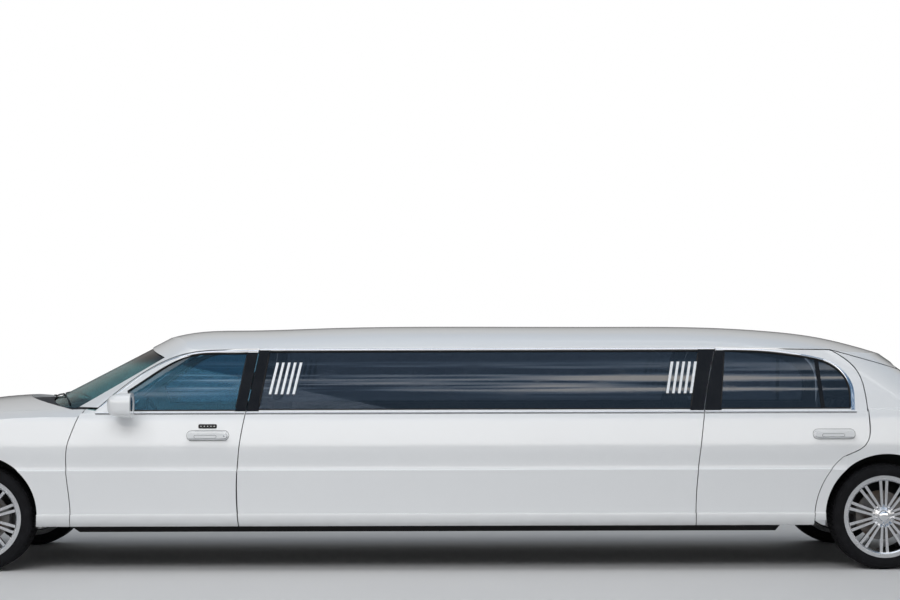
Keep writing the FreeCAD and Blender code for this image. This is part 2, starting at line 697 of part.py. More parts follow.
def firewall_cowl(shells):
    """Wall behind the engine, the windscreen's lower frame and the black cowl under the wipers."""
    x0, x1 = FIREWALL_X - FIREWALL_THICKNESS, FIREWALL_X
    wall = box(x0, x1, -HOOD_SIDE_Y, HOOD_SIDE_Y, FLOOR_Z - FLOOR_THICKNESS, COWL_SHELF_Z - 20)
    head = box(x0, x1, -COWL_SHELF_Y, COWL_SHELF_Y, COWL_SHELF_Z - 20, COWL_SHELF_Z + FLOOR_THICKNESS)
    bore = TUNNEL_HALF_WIDTH - FLOOR_THICKNESS
    wall = wall.cut(box(x0 - 1, x1 + 1, -bore, bore, 0, TUNNEL_TOP_Z - FLOOR_THICKNESS))
    plate = crown(HOOD_TOP, HOOD_EDGE_Y, 24).cut(crown(HOOD_TOP, HOOD_EDGE_Y, 44))
    cowl = plate.common(box(-3060, -2440, -HOOD_SIDE_Y + SEAT_GAP, HOOD_SIDE_Y - SEAT_GAP, 900, 1300))
    under_hood = plan_prism(hood_plan(), 900, 1300, SHUT_GAP)
    cowl = cowl.cut([under_hood, shells.house])
    lip = shells.house_shell.common(box(-3100, -2350, -760, 760, 1030, COWL_LIP_Z))
    lip = lip.cut([front_prism(SCREEN_VIEW, -3200, -1800), under_hood])
    shelf = box(-2980, -2620, -COWL_SHELF_Y, COWL_SHELF_Y, COWL_SHELF_Z, COWL_SHELF_Z + FLOOR_THICKNESS)
    y0, y1 = HOOD_POST_Y
    below_hood = crown(HOOD_TOP, HOOD_EDGE_Y, LID_WALL + SEAT_GAP)
    post = below_hood.common(box(HOOD_POST_X, HOOD_POST_X + y1 - y0, -y1, -y0, COWL_SHELF_Z, 1300))
    door = side_prism(FRONT_DOOR, -FAR, -DOOR_DEEPEST_Y + DOOR_SCREEN_GAP, SHUT_GAP)
    return wall.fuse([head, cowl, lip, shelf, post, mirrored(post)]).cut([door, mirrored(door)])


def floor_pan():
    """Floor plates, side sills and centre tunnel, with the step up behind the passengers."""
    x0, x1 = FIREWALL_X, STEP_X - SEAT_GAP
    sill_y = DOOR_WALL_Y - SEAT_GAP
    w, t = TUNNEL_HALF_WIDTH, FLOOR_THICKNESS
    low = FLOOR_Z - t
    roof = box(x0, x1, -w, w, TUNNEL_TOP_Z - t, TUNNEL_TOP_Z)
    riser = box(STEP_X, STEP_X + t, -STEP_HALF_WIDTH, STEP_HALF_WIDTH, low, STEP_Z - t - SEAT_GAP)
    riser = riser.cut(box(STEP_X - 1, STEP_X + t + 1, t - w, w - t, 0, TUNNEL_TOP_Z - t))
    boot = box(STEP_X, BOOT_END_X, -STEP_HALF_WIDTH, STEP_HALF_WIDTH, STEP_Z - t, STEP_Z)
    wall = box(x0, x1, -w, t - w, low, TUNNEL_TOP_Z - t - SEAT_GAP)
    plate = box(x0, x1, -sill_y + SILL_WIDTH + SEAT_GAP, -w - SEAT_GAP, low, FLOOR_Z)
    sill = box(x0, SILL_END_X, -sill_y, -sill_y + SILL_WIDTH, low, SILL_TOP_Z)
    sides = [wall, plate, sill]
    return Part.makeCompound([roof, riser, boot] + sides + [mirrored(side) for side in sides])


def frame_rails():
    """Ladder frame: two kicked-up side rails and the cross members between them."""
    b, t = RAIL_BOTTOM_Z, RAIL_TOP_Z
    low = (((-4090, 350),), ((-3800, 350),), ((-2820, 350),), ((-2620, b),), ((2200, b),), ((2420, 470),),
           ((3150, 470),), ((3360, 350),), ((4090, 350),), ((4090, RAIL_HORN_TOP_Z),), ((3320, RAIL_HORN_TOP_Z),),
           ((3130, 540),), ((2400, 540),), ((2180, t),), ((-2660, t),), ((-2800, RAIL_HORN_TOP_Z),),
           ((-4090, RAIL_HORN_TOP_Z),))
    rail = side_prism(low, -RAIL_INNER_Y - RAIL_WIDTH, -RAIL_INNER_Y)
    rail = rail.cut([box(x, x + SEAT_GAP, -FAR, 0, 0, 1000) for x in RAIL_SPLICES])
    places = [(-4030, 360, 440), (-3620, 360, 420), (-3190, 352, 420), (2560, 475, 535), (3060, 475, 535),
              (4030, 360, 440)]
    places += [(-2400 + 760 * i, b, b + CROSS_MEMBER_HEIGHT) for i in range(7)]
    y = RAIL_INNER_Y - SEAT_GAP
    members = [box(x - 45, x + 45, -y, y, z0, z1) for x, z0, z1 in places]
    return Part.makeCompound(rail.Solids + mirrored(rail).Solids + members)


def wheelhouse(arch, radius, inner_y, low_z):
    """Liner over one wheel: an arched sheet closed by its inner wall."""
    t = LINER_THICKNESS
    room = wheel_cut(arch, radius, -LINER_OUTER_Y - 1, -inner_y - t)
    drum = wheel_cut(arch, radius + t, -LINER_OUTER_Y, -inner_y).cut(room)
    return drum.common(box(arch[0] - 2 * radius, arch[0] + 2 * radius, -FAR, 0, low_z, 1300))


def wheelhouses():
    seat_z = RAIL_HORN_TOP_Z + SEAT_GAP
    front = wheelhouse(FRONT_ARCH, FRONT_ARCH_R + LINER_HIDDEN, FRONT_LINER_Y, FRONT_LINER_Z)
    wall_y = -FRONT_LINER_Y - LINER_THICKNESS
    feet = []
    for x in LINER_FOOT_X:
        x0, x1 = x - LINER_FOOT_LENGTH / 2, x + LINER_FOOT_LENGTH / 2
        feet.append(box(x0, x1, wall_y, -RAIL_INNER_Y - RAIL_WIDTH / 2, seat_z, seat_z + LINER_THICKNESS))
        feet.append(box(x0, x1, wall_y, -FRONT_LINER_Y, seat_z, FRONT_LINER_Z + 1))
    rear = wheelhouse(REAR_ARCH, REAR_ARCH_R + LINER_HIDDEN, STEP_HALF_WIDTH + SEAT_GAP, REAR_LINER_Z)
    sides = front.fuse(feet).Solids + rear.Solids
    return Part.makeCompound(sides + [mirrored(side) for side in sides])


def engine_block():
    """Engine as one plain block on its cross member, with the gearbox behind it."""
    block = box(-3480, -2830, -300, 300, 420 + SEAT_GAP, 980)
    gearbox = Part.makeCone(130, 58, 231, V(-2840, 0, TYRE_RADIUS), V(1, 0, 0)).common(
        box(-2830, -2500, -200, 200, 300, 600))
    bell = box(-2900, -2829, -130, 130, 320, 430)
    return block.makeChamfer(40, block.Edges).fuse([bell, gearbox])


def rear_axle():
    beam = Part.makeCylinder(42, 2 * (WHEEL_Y - 75), V(REAR_AXLE_X, -(WHEEL_Y - 75), TYRE_RADIUS), V(0, 1, 0))
    case = revolve_y([(0, -120), (70, -110), (125, -55), (135, 0), (125, 55), (70, 110), (0, 120)],
                     REAR_AXLE_X, 0, TYRE_RADIUS)
    nose = Part.makeCone(62, 45, 190, V(REAR_AXLE_X - 100, 0, TYRE_RADIUS), V(-1, 0, 0))
    flanges = [Part.makeCylinder(80, 14, V(REAR_AXLE_X, s * (WHEEL_Y - 66), TYRE_RADIUS), V(0, -s, 0))
               for s in (-1, 1)]
    springs = [box(REAR_AXLE_X - 55, REAR_AXLE_X + 55, s * 430 - 30, s * 430 + 30, TYRE_RADIUS, 470 - SEAT_GAP)
               for s in (-1, 1)]
    return beam.fuse([case, nose] + flanges + springs)


def propeller_shaft():
    end = REAR_AXLE_X - 290 - SEAT_GAP
    start = -2609 + SEAT_GAP
    return Part.makeCylinder(SHAFT_RADIUS, end - start, V(start, 0, TYRE_RADIUS), V(1, 0, 0))


def fuel_tank():
    body = box(3180, 3640, -340, 340, 320, STEP_Z - FLOOR_THICKNESS - SEAT_GAP)
    return body.makeChamfer(32, body.Edges)


def exhaust():
    """One pipe on hangers under the floor, with a silencer at the tail."""
    line = Part.makeCylinder(PIPE_RADIUS, 6900, V(-2700, PIPE_Y, PIPE_Z), V(1, 0, 0))
    silencer = Part.makeCylinder(66, 320, V(3690, PIPE_Y, PIPE_Z), V(1, 0, 0))
    hangers = [box(x - 15, x + 15, PIPE_Y - 6, PIPE_Y + 6, PIPE_Z, RAIL_TOP_Z - SEAT_GAP) for x in (-2000, 0, 2000)]
    return line.fuse([silencer] + hangers)


def front_suspension():
    """Lower and upper arms reaching from the frame to the steering knuckles."""
    arms = []
    y_pin = WHEEL_Y - KINGPIN_INSET
    for s in (-1, 1):
        for z in (ARM_LOW_Z, ARM_HIGH_Z + SEAT_GAP):
            runs = (((FRONT_AXLE_X - 150, s * 400),), ((FRONT_AXLE_X + 150, s * 400),),
                    ((FRONT_AXLE_X + 26, s * (y_pin + 20)),), ((FRONT_AXLE_X - 26, s * (y_pin + 20)),))
            arms.append(plan_prism(runs, z, z + ARM_THICKNESS))
    frame_block = box(FRONT_AXLE_X - 160, FRONT_AXLE_X + 160, -460, 460, ARM_LOW_Z, 350)
    return frame_block.fuse(arms)


def knuckle():
    """Upright between the arms, with the stub that carries the wheel."""
    y_pin = -(WHEEL_Y - KINGPIN_INSET)
    low = ARM_LOW_Z + ARM_THICKNESS + SEAT_GAP
    post = Part.makeCylinder(24, ARM_HIGH_Z - low, V(FRONT_AXLE_X, y_pin, low), V(0, 0, 1))
    face_y = -(WHEEL_Y - HUB_FACE_FRONT)
    stub = Part.makeCylinder(46, 50, V(FRONT_AXLE_X, face_y + 50, TYRE_RADIUS), V(0, -1, 0))
    return post.fuse(stub)


def revolve_y(points, x, y, z):
    """Solid of revolution about a wheel's axle, from (radius, offset) points."""
    wire = Part.makePolygon([V(x + r, y + o, z) for r, o in points + points[:1]])
    return Part.Face(wire).revolve(V(x, y, z), V(0, 1, 0), 360)


def tyre(x, s):
    """Low profile tyre; negative offsets point out of the car on the driver's side."""
    half = TYRE_WIDTH / 2
    bead = RIM_RADIUS - 12
    outline = [(bead, -half + 16), (TYRE_RADIUS - 44, -half), (TYRE_RADIUS - 10, -half + 14),
               (TYRE_RADIUS, -half + 40), (TYRE_RADIUS, half - 40), (TYRE_RADIUS - 10, half - 14),
               (TYRE_RADIUS - 44, half), (bead, half - 16)]
    shape = revolve_y(outline, x, -WHEEL_Y, TYRE_RADIUS)
    return shape if s < 0 else mirrored(shape)


def wheel(x, s, hub_face):
    """Alloy wheel: stepped barrel, hub and twin spokes."""
    half = TYRE_WIDTH / 2
    r = RIM_RADIUS - 12 - SEAT_GAP
    barrel = [(r, -half + 16), (RIM_RADIUS, -half + 10), (RIM_RADIUS, -half + 4), (r - 14, -half + 4),
              (r - 22, -half + 12), (r - 30, half - 10), (r - 20, half - 4), (RIM_RADIUS, half - 8), (r, half - 16)]
    rim = revolve_y(barrel, x, -WHEEL_Y, TYRE_RADIUS)
    hub = [(0, -80), (40, -80), (76, -66), (86, -40), (86, hub_face - SEAT_GAP), (0, hub_face - SEAT_GAP)]
    shape = rim.fuse(revolve_y(hub, x, -WHEEL_Y, TYRE_RADIUS))
    spokes = []
    for i in range(SPOKE_PAIRS):
        for side in (-1, 1):
            runs = (((side * 13 - 8, 70),), ((side * 13 + 8, 70),), ((side * 21 + 10, r - 18),),
                    ((side * 21 - 10, r - 18),))
            wire = outline_wire(runs, lambda a, b: V(a, 0, b))
            spoke = Part.Face(wire).extrude(V(0, 28, 0))
            spoke.translate(V(0, -WHEEL_Y - 88, 0))
            spoke.rotate(V(0, 0, 0), V(0, 1, 0), 360 / SPOKE_PAIRS * i)
            spoke.translate(V(x, 0, TYRE_RADIUS))
            spokes.append(spoke)
    shape = shape.fuse(spokes)
    return shape if s < 0 else mirrored(shape)


def seat_profile(x, z, depth, height, thickness, lean):
    """Side outline of a seat: cushion and leaning back."""
    return (((x, z),), ((x + depth, z),), ((x + depth + thickness * 0.6, z + thickness),),
            ((x + depth + lean + thickness, z + height),), ((x + depth + lean, z + height + 10),),
            ((x + depth - thickness * 0.2, z + thickness + 20),), ((x, z + thickness),))


def front_seats():
    runs = seat_profile(-2030, 500, 430, 640, 130, 150)
    seat = side_prism(runs, -650, -140)
    rails = box(-2000, -1640, -560, -230, FLOOR_Z, 502)
    return pair(seat.fuse(rails))


def tunnel_room():
    w = TUNNEL_HALF_WIDTH + SEAT_GAP
    return box(-3000, 3000, -w, w, 0, TUNNEL_TOP_Z + SEAT_GAP)


def lounge_seat():
    """Side bench along the far side and the rear bench across the cabin."""
    sill_y = DOOR_WALL_Y - SILL_WIDTH - 8
    low = FLOOR_Z + SEAT_GAP
    bench = box(-900, STEP_X - SEAT_GAP, 330, sill_y, low, 640)
    back = box(-900, STEP_X - SEAT_GAP, 690, 800, 640, 1000)
    rear = side_prism(seat_profile(STEP_X - 10, STEP_Z + SEAT_GAP, 460, 560, 150, 130), -590, 590)
    return bench.fuse([back, rear])


def bar_cabinet():
    """Divider behind the driver and the low cabinet along the near side."""
    sill_y = DOOR_WALL_Y - SILL_WIDTH - 8
    low = FLOOR_Z + SEAT_GAP
    divider = box(-1290, -1250, -sill_y, sill_y, low, 1120)
    cabinet = box(-1250, 700, -sill_y, -480, low, 900)
    return divider.fuse(cabinet).cut(tunnel_room())


def dashboard():
    runs = (((FIREWALL_X + SEAT_GAP, 700),), ((FIREWALL_X + SEAT_GAP, 960), (-2590, 990), (-2500, 1012),
            (-2330, 1004), (-2276, 950)), ((-2290, 860),), ((-2380, 700),))
    room = Part.makeCylinder(COLUMN_RADIUS + SEAT_GAP, 400, V(*STEERING_CENTRE), V(-0.92, 0, -0.39))
    return side_prism(runs, -800, 800).cut(room)


def steering_wheel():
    centre = V(*STEERING_CENTRE)
    section = [V(180 + 15 * math.cos(math.pi * i / 4), 0, 15 * math.sin(math.pi * i / 4)) for i in range(8)]
    ring = Part.Face(Part.makePolygon(section + section[:1])).revolve(V(0, 0, 0), V(0, 0, 1), 360)
    ring.rotate(V(0, 0, 0), V(0, 1, 0), 67)
    ring.translate(centre)
    column = Part.makeCylinder(COLUMN_RADIUS, 260, centre, V(-0.92, 0, -0.39))
    spokes = [box(-6, 6, -172, 172, -14, 14)]
    spokes[0].rotate(V(0, 0, 0), V(0, 1, 0), -23)
    spokes[0].translate(centre)
    return ring.fuse([column] + spokes)


def build():
    shells = Shells()
    nodes = {}
    for name, left in (("door_front", front_door(shells)), ("door_rear", rear_door(shells)),
                       ("door_glass_front", side_glass(shells, FRONT_GLASS)),
                       ("door_glass_rear", side_glass(shells, REAR_GLASS)),
                       ("mirror", mirror_housing()), ("knuckle", knuckle())):
        nodes[name + "_left"] = left
        nodes[name + "_right"] = mirrored(left)
    nodes["stretch_panels"] = pair(stretch_panel(shells))
    nodes["long_windows"] = pair(side_glass(shells, LONG_GLASS))
    nodes["window_bars"] = window_bars()
    nodes["roof_panel"] = roof_panel(shells)
    nodes["windscreen"] = windscreen(shells)
    nodes["rear_window"] = rear_window(shells)
    nodes["quarter_panels"] = pair(quarter_panel(shells))
    nodes["rear_deck"] = rear_deck(shells)
    nodes["front_fenders"] = pair(front_fender(shells))
    nodes["hood"] = hood(shells)
    nodes["trunk_lid"] = trunk_lid(shells)
    nodes["front_bumper"] = front_bumper(shells)
    nodes["rear_bumper"] = rear_bumper(shells)
    nodes["grille"] = grille()
    nodes["headlamps"] = pair(headlamp(shells))
    nodes["tail_lamps"] = pair(tail_lamp(shells))
    nodes["firewall_cowl"] = firewall_cowl(shells)
    nodes["floor_pan"] = floor_pan()
    nodes["frame_rails"] = frame_rails()
    nodes["wheelhouses"] = wheelhouses()
    nodes["engine_block"] = engine_block()
    nodes["rear_axle"] = rear_axle()
    nodes["propeller_shaft"] = propeller_shaft()
    nodes["fuel_tank"] = fuel_tank()
    nodes["exhaust"] = exhaust()
    nodes["front_suspension"] = front_suspension()
    nodes["dashboard"] = dashboard()
    nodes["steering_wheel"] = steering_wheel()
    nodes["front_seats"] = front_seats()
    nodes["lounge_seat"] = lounge_seat()
    nodes["bar_cabinet"] = bar_cabinet()
    for side, s in (("left", -1), ("right", 1)):
        for end, x, hub_face in (("front", FRONT_AXLE_X, HUB_FACE_FRONT), ("rear", REAR_AXLE_X, HUB_FACE_REAR)):
            nodes["wheel_%s_%s" % (end, side)] = wheel(x, s, hub_face)
            nodes["tyre_%s_%s" % (end, side)] = tyre(x, s)
    return nodes


os.makedirs("parts", exist_ok=True)
for node, shape in build().items():
    shape.exportStep("parts/%s.step" % node)
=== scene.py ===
"""Stretch limousine: finishes, trim, wheels and cabin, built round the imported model."""

import math

import bmesh
import bpy
from mathutils import Matrix, Vector
from mathutils.bvhtree import BVHTree


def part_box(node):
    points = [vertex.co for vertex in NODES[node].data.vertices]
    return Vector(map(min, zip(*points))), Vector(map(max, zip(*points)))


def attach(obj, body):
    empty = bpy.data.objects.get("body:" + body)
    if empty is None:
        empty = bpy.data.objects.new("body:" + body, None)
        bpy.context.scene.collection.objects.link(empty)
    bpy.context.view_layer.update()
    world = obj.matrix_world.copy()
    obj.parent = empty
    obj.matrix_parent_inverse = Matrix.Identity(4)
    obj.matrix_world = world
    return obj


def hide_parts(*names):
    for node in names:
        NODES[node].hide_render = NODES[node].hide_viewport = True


bl_info = {
    "name": "Stretch limousine",
    "version": (1, 0, 0),
    "blender": (4, 5, 0),
    "location": "View3D > Sidebar > Limousine",
    "description": "Paint, glass, trim, tyres and cabin for a stretch limousine",
    "category": "Object",
}

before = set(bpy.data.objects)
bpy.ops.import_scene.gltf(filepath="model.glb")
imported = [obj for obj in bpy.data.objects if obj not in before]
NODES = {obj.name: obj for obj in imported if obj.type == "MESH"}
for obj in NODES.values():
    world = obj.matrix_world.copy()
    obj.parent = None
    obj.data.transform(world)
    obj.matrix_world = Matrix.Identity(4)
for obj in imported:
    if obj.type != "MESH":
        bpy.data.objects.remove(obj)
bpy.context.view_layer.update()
SIDES = (("left", -1), ("right", 1))
MM = 0.001
GENERATED, OBJECT = 0, 3        # outputs of a texture coordinate node
BELT_Z = 1.046                  # where the doors' skin ends under the windows
POST_FOOT_Z = 1.063
FLOOR_HALF = 60.0
OUTSIDE, SIDE_LIMIT = 1.5, 0.5  # y where rays at the side start, and where a hit still counts
CLOTH_FRAMES = 20
UP, DOWN, NEAR = Vector((0, 0, 1)), Vector((0, 0, -1)), Vector((0, -1, 0))


# ---------------------------------------------------------------- shader maths

class Value:
    """A shader socket that Python's operators work on."""

    def __init__(self, finish, socket):
        self.finish, self.socket = finish, socket

    def math(self, operation, *terms, clamp=False):
        return self.finish.node("ShaderNodeMath", {"operation": operation, "use_clamp": clamp},
                                dict(enumerate(terms)))

    def __add__(self, other):
        return self.math("ADD", self, other)

    def __rsub__(self, other):
        return self.math("SUBTRACT", other, self)

    def __mul__(self, other):
        return self.math("MULTIPLY", self, other)

    __radd__ = __add__
    __rmul__ = __mul__

    def step(self, low, high, out_low=0.0, out_high=1.0):
        """Smooth change from out_low to out_high while the value goes from low to high."""
        return self.finish.node("ShaderNodeMapRange", {"interpolation_type": "SMOOTHSTEP"},
                                {0: self, 1: low, 2: high, 3: out_low, 4: out_high})


class Finish:
    """A material, or the world, in the making."""

    def __init__(self, name, world=None):
        self.material = world or bpy.data.materials.new(name)
        self.material.use_nodes = True
        self.tree = self.material.node_tree
        self.tree.nodes.clear()
        self.end = self.tree.nodes.new("ShaderNodeOutputWorld" if world else "ShaderNodeOutputMaterial")

    def node(self, kind, settings=None, inputs=None, output=0):
        made = self.tree.nodes.new(kind)
        for key, value in (settings or {}).items():
            setattr(made, key, value)
        for key, value in (inputs or {}).items():
            if isinstance(value, Value):
                self.tree.links.new(value.socket, made.inputs[key])
            else:
                made.inputs[key].default_value = value
        return Value(self, made.outputs[output])

    def place(self, scale=(1, 1, 1)):
        where = self.node("ShaderNodeTexCoord", output=OBJECT)
        return self.node("ShaderNodeMapping", {}, {"Vector": where, "Scale": scale})

    def axes(self, where=OBJECT):
        split = self.node("ShaderNodeSeparateXYZ", {}, {0: self.node("ShaderNodeTexCoord", output=where)})
        outs = split.socket.node.outputs
        return [Value(self, outs[i]) for i in range(3)]

    def noise(self, scale, detail=3.0, stretch=(1, 1, 1)):
        return self.node("ShaderNodeTexNoise", {},
                         {"Vector": self.place(stretch), "Scale": scale, "Detail": detail})

    def blend(self, factor, first, second):
        """Mixes colours: 6, 7 and 2 are the colour sockets of a Mix node."""
        return self.node("ShaderNodeMix", {"data_type": "RGBA"}, {0: factor, 6: first, 7: second}, output=2)

    def ray(self, kind):
        rays = self.node("ShaderNodeLightPath").socket.node.outputs
        return Value(self, rays["Is %s Ray" % kind])

    def mix(self, factor, first, second):
        return self.node("ShaderNodeMixShader", {}, {0: factor, 1: first, 2: second})

    def bump(self, height, strength, distance):
        return self.node("ShaderNodeBump", {}, {"Strength": strength, "Distance": distance, "Height": height})

    def surface(self, **sockets):
        inputs = {key.replace("_", " "): value for key, value in sockets.items()}
        return self.node("ShaderNodeBsdfPrincipled", {}, inputs)

    def close(self, shader):
        self.tree.links.new(shader.socket, self.end.inputs["Surface"])
        return self.material


def rgb(*colour):
    return (*colour, 1.0)


def scaled(colour, by):
    return [channel * by for channel in colour]


def worn(f, base, far, wear, tone, rough, **more):
    """Surface whose colour, from base to far, and roughness both follow one noise."""
    noise = f.noise(*wear)
    colour = rgb(*base)
    if far:
        colour = f.blend(noise.step(*tone) if tone else noise, colour, rgb(*far))
    return f.close(f.surface(Base_Color=colour, Roughness=noise.step(*rough), **more))


def white_paint(tone):
    f = Finish("white clear-coated paint")
    # Grey patches that thicken towards the bottom of the body, none above 0.42 m and fullest below 0.24 m.
    # They are partly road dust and partly painted shade on the lower sill. They also roughen the paint and
    # thin its clear coat there.
    dust = f.axes()[2].step(0.42, 0.24) * f.noise(9, 6, (1, 1, 2.5)).step(0.2, 0.9, 0.05, 0.35)
    return f.close(f.surface(Base_Color=f.blend(dust, rgb(*tone), rgb(0.42, 0.41, 0.39)),
                             Roughness=dust * 0.2 + 0.30, Normal=f.bump(f.noise(260, 1), 0.04, 0.0003),
                             Coat_Weight=1.0 - dust, Coat_Roughness=0.03, Coat_IOR=1.55))


def gloss_black():
    return worn(Finish("gloss black post cover"), (0.008, 0.008, 0.009), None, (9,), None,
                (0.3, 0.7, 0.16, 0.24), Specular_IOR_Level=0.3)


def chrome():
    return worn(Finish("bright chrome"), (0.80, 0.81, 0.83), None, (14, 4), None, (0.3, 0.8, 0.05, 0.14),
                Metallic=1.0)


def bar_finish():
    return worn(Finish("satin silver window bars"), (0.82, 0.82, 0.82), (0.92, 0.92, 0.92),
                (60, 3, (6, 1, 1)), None, (0.2, 0.8, 0.28, 0.38), Metallic=0.35)


def alloy():
    f = Finish("polished wheel alloy")
    brushed = f.noise(55, 4, (1, 5, 1))
    dust = f.noise(9, 5).step(0.45, 0.8, 0.0, 0.35)
    colour = f.blend(dust, rgb(0.68, 0.69, 0.71), rgb(0.33, 0.31, 0.29))
    return f.close(f.surface(Base_Color=colour, Metallic=1.0, Normal=f.bump(brushed, 0.08, 0.0005),
                             Roughness=brushed.step(0.2, 0.8, 0.14, 0.24) + dust * 0.3))


def rubber(name, base, rough, shine=0.3):
    f = Finish(name)
    return worn(f, base, scaled(base, 1.9), (18, 5), (0.35, 0.75), (0.2, 0.8, rough - 0.08, rough + 0.08),
                Specular_IOR_Level=shine, Normal=f.bump(f.noise(420, 2), 0.25, 0.0006))


def moulded(name, base, rough, grain=700):
    f = Finish(name)
    return worn(f, base, scaled(base, 1.35), (7, 3), (0.3, 0.7), (0.2, 0.8, rough - 0.06, rough + 0.06),
                Specular_IOR_Level=0.3, Normal=f.bump(f.noise(grain, 2), 0.3, 0.0004))


def dull_metal(name, base, rough, metal):
    f = Finish(name)
    return worn(f, base, (0.14, 0.09, 0.06), (11, 6), (0.4, 0.75), (0.2, 0.8, rough, rough + 0.2),
                Metallic=metal, Normal=f.bump(f.noise(150, 4), 0.35, 0.001))


def leather(name, base):
    f = Finish(name)
    pores = f.node("ShaderNodeTexVoronoi", {}, {"Vector": f.place(), "Scale": 420.0})
    return worn(f, base, scaled(base, 1.5), (5, 4), (0.3, 0.7), (0.2, 0.8, 0.38, 0.5), Sheen_Weight=0.1,
                Normal=f.bump(pores + f.noise(900, 2) * 0.3, 0.35, 0.0006))


def carpet(name, base):
    f = Finish(name)
    pile = f.noise(520, 2)
    return f.close(f.surface(Base_Color=f.blend(pile, rgb(*scaled(base, 0.6)), rgb(*base)), Roughness=0.95,
                             Sheen_Weight=0.3, Normal=f.bump(pile, 0.8, 0.002)))


def lacquered_wood():
    f = Finish("lacquered dark wood")
    ring = f.node("ShaderNodeTexWave", {"bands_direction": "Z"},
                  {"Vector": f.place((0.25, 1, 1)), "Scale": 16.0, "Distortion": 7.0, "Detail": 3.0})
    return f.close(f.surface(Base_Color=f.blend(ring, rgb(0.085, 0.030, 0.012), rgb(0.22, 0.085, 0.030)),
                             Roughness=f.noise(20).step(0.3, 0.7, 0.18, 0.26), Coat_Weight=0.8,
                             Coat_Roughness=0.06))


def tinted_glass(name, tint, mirror=1.5, band=None):
    """Tinted glass; a band of (from z, to z, shade) darkens it upwards."""
    f = Finish(name)
    colour = rgb(*tint)
    if band:
        low, high, shade = band
        colour = f.blend(f.axes()[2].step(low, high), colour, rgb(*shade))
    film = f.noise(5, 4, (1, 1, 2)).step(0.4, 0.9, 0.0, 0.04)
    return f.close(f.surface(Base_Color=colour, Roughness=film, IOR=mirror, Transmission_Weight=1.0))


def lamp_lens(name, tint, glow, ribs, clear):
    """Moulded lens with fine upright flutes behind a smooth face."""
    f = Finish(name)
    wave = f.axes()[1] * ribs
    flute = wave.math("SINE", wave) * 0.5 + 0.5
    return f.close(f.surface(Base_Color=f.blend(flute * 0.35, rgb(*tint), rgb(*glow)), Roughness=0.08,
                             IOR=1.49, Transmission_Weight=clear, Coat_Weight=1.0, Coat_Roughness=0.03,
                             Normal=f.bump(flute, 0.35 - 0.3 * clear, 0.002)))


PAINTS = {}


def paint(key):
    """The named finish, made the first time it is asked for."""
    if key not in PAINTS:
        own = bpy.context.scene.limo_finish
        maker, *terms = {
            "white": (white_paint, own.body_colour),
            "post": (gloss_black,),
            "chrome": (chrome,),
            "bars": (bar_finish,),
            "alloy": (alloy,),
            "tyre": (rubber, "tyre rubber", (0.007, 0.007, 0.008), 0.8, 0.15),
            "seal": (rubber, "black weather seal", (0.006, 0.006, 0.006), 0.6),
            "cowl": (moulded, "black cowl plastic", (0.010, 0.010, 0.011), 0.5),
            "dash": (moulded, "dark dash skin", (0.035, 0.035, 0.038), 0.6),
            "tank": (moulded, "black tank plastic", (0.03, 0.03, 0.03), 0.5),
            "under": (moulded, "black underbody coating", (0.018, 0.018, 0.018), 0.65, 260),
            "cast": (dull_metal, "cast iron and steel", (0.22, 0.22, 0.22), 0.42, 0.8),
            "pipe": (dull_metal, "dull exhaust steel", (0.36, 0.34, 0.32), 0.34, 0.9),
            "glass": (tinted_glass, "dark tinted side glass", own.side_tint, 1.8),
            "screen": (tinted_glass, "green screen glass", own.screen_tint, 1.38,
                       (1.35, 1.43, (0.004, 0.009, 0.011))),
            "door_glass": (tinted_glass, "blue-green door glass", own.door_tint, 1.8),
            "leather": (leather, "black grained leather", (0.022, 0.022, 0.024)),
            "wood": (lacquered_wood,),
            "carpet": (carpet, "charcoal carpet", (0.05, 0.05, 0.055)),
            "lining": (carpet, "pale roof lining", (0.40, 0.39, 0.37)),
            "lamp_clear": (lamp_lens, "clear fluted lamp", (0.92, 0.94, 0.96), (1.0, 1.0, 1.0), 420, 0.95),
            "lamp_red": (lamp_lens, "red fluted lamp", (0.42, 0.008, 0.010), (0.62, 0.03, 0.02), 380, 0.35),
        }[key]
        PAINTS[key] = maker(*terms)
    return PAINTS[key]


# ---------------------------------------------------------------- mesh helpers

def new_object(name, source):
    """Object in the scene, of any data or of a bmesh, which is used up."""
    data = source
    if isinstance(source, bmesh.types.BMesh):
        data = bpy.data.meshes.new(name)
        source.to_mesh(data)
        source.free()
    made = bpy.data.objects.new(name, data)
    bpy.context.scene.collection.objects.link(made)
    return made


def finish_mesh(made, key, crease=35.0):
    made.data.materials.clear()
    made.data.materials.append(paint(key))
    made.data.polygons.foreach_set("use_smooth", [True] * len(made.data.polygons))
    made.data.set_sharp_from_angle(angle=math.radians(crease))


def add_piece(name, work, key, body="chassis", crease=35.0):
    """Turns a finished bmesh into a piece that rides on a body."""
    made = new_object(name, work)
    finish_mesh(made, key, crease)
    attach(made, body)
    return made


def add_pair(name, work, key, body="chassis"):
    """The driver's side piece and its mirror image; a body ending in _ has a left and a right."""
    other = work.copy()
    bmesh.ops.scale(other, vec=(1, -1, 1), verts=other.verts)
    bmesh.ops.reverse_faces(other, faces=other.faces)
    for (side, _), mesh in zip(SIDES, (work, other)):
        add_piece("%s_%s" % (name, side), mesh, key, body + side if body.endswith("_") else body)


def outwards(work):
    bmesh.ops.remove_doubles(work, verts=work.verts, dist=1e-6)
    bmesh.ops.recalc_face_normals(work, faces=work.faces)
    return work


def joined(work, rings, closed=False):
    """Faces from each ring of vertices to the next, with the ends capped or joined to each other."""
    for here, there in zip(rings, rings[1:] + rings[:closed]):
        for j in range(len(here)):
            k = (j + 1) % len(here)
            work.faces.new((here[j], here[k], there[k], there[j]))
    if not closed:
        work.faces.new(rings[0][::-1])
        work.faces.new(rings[-1])
    return work


def lofted(rings):
    """Solid through rings of points."""
    work = bmesh.new()
    return outwards(joined(work, [[work.verts.new(point) for point in ring] for ring in rings]))


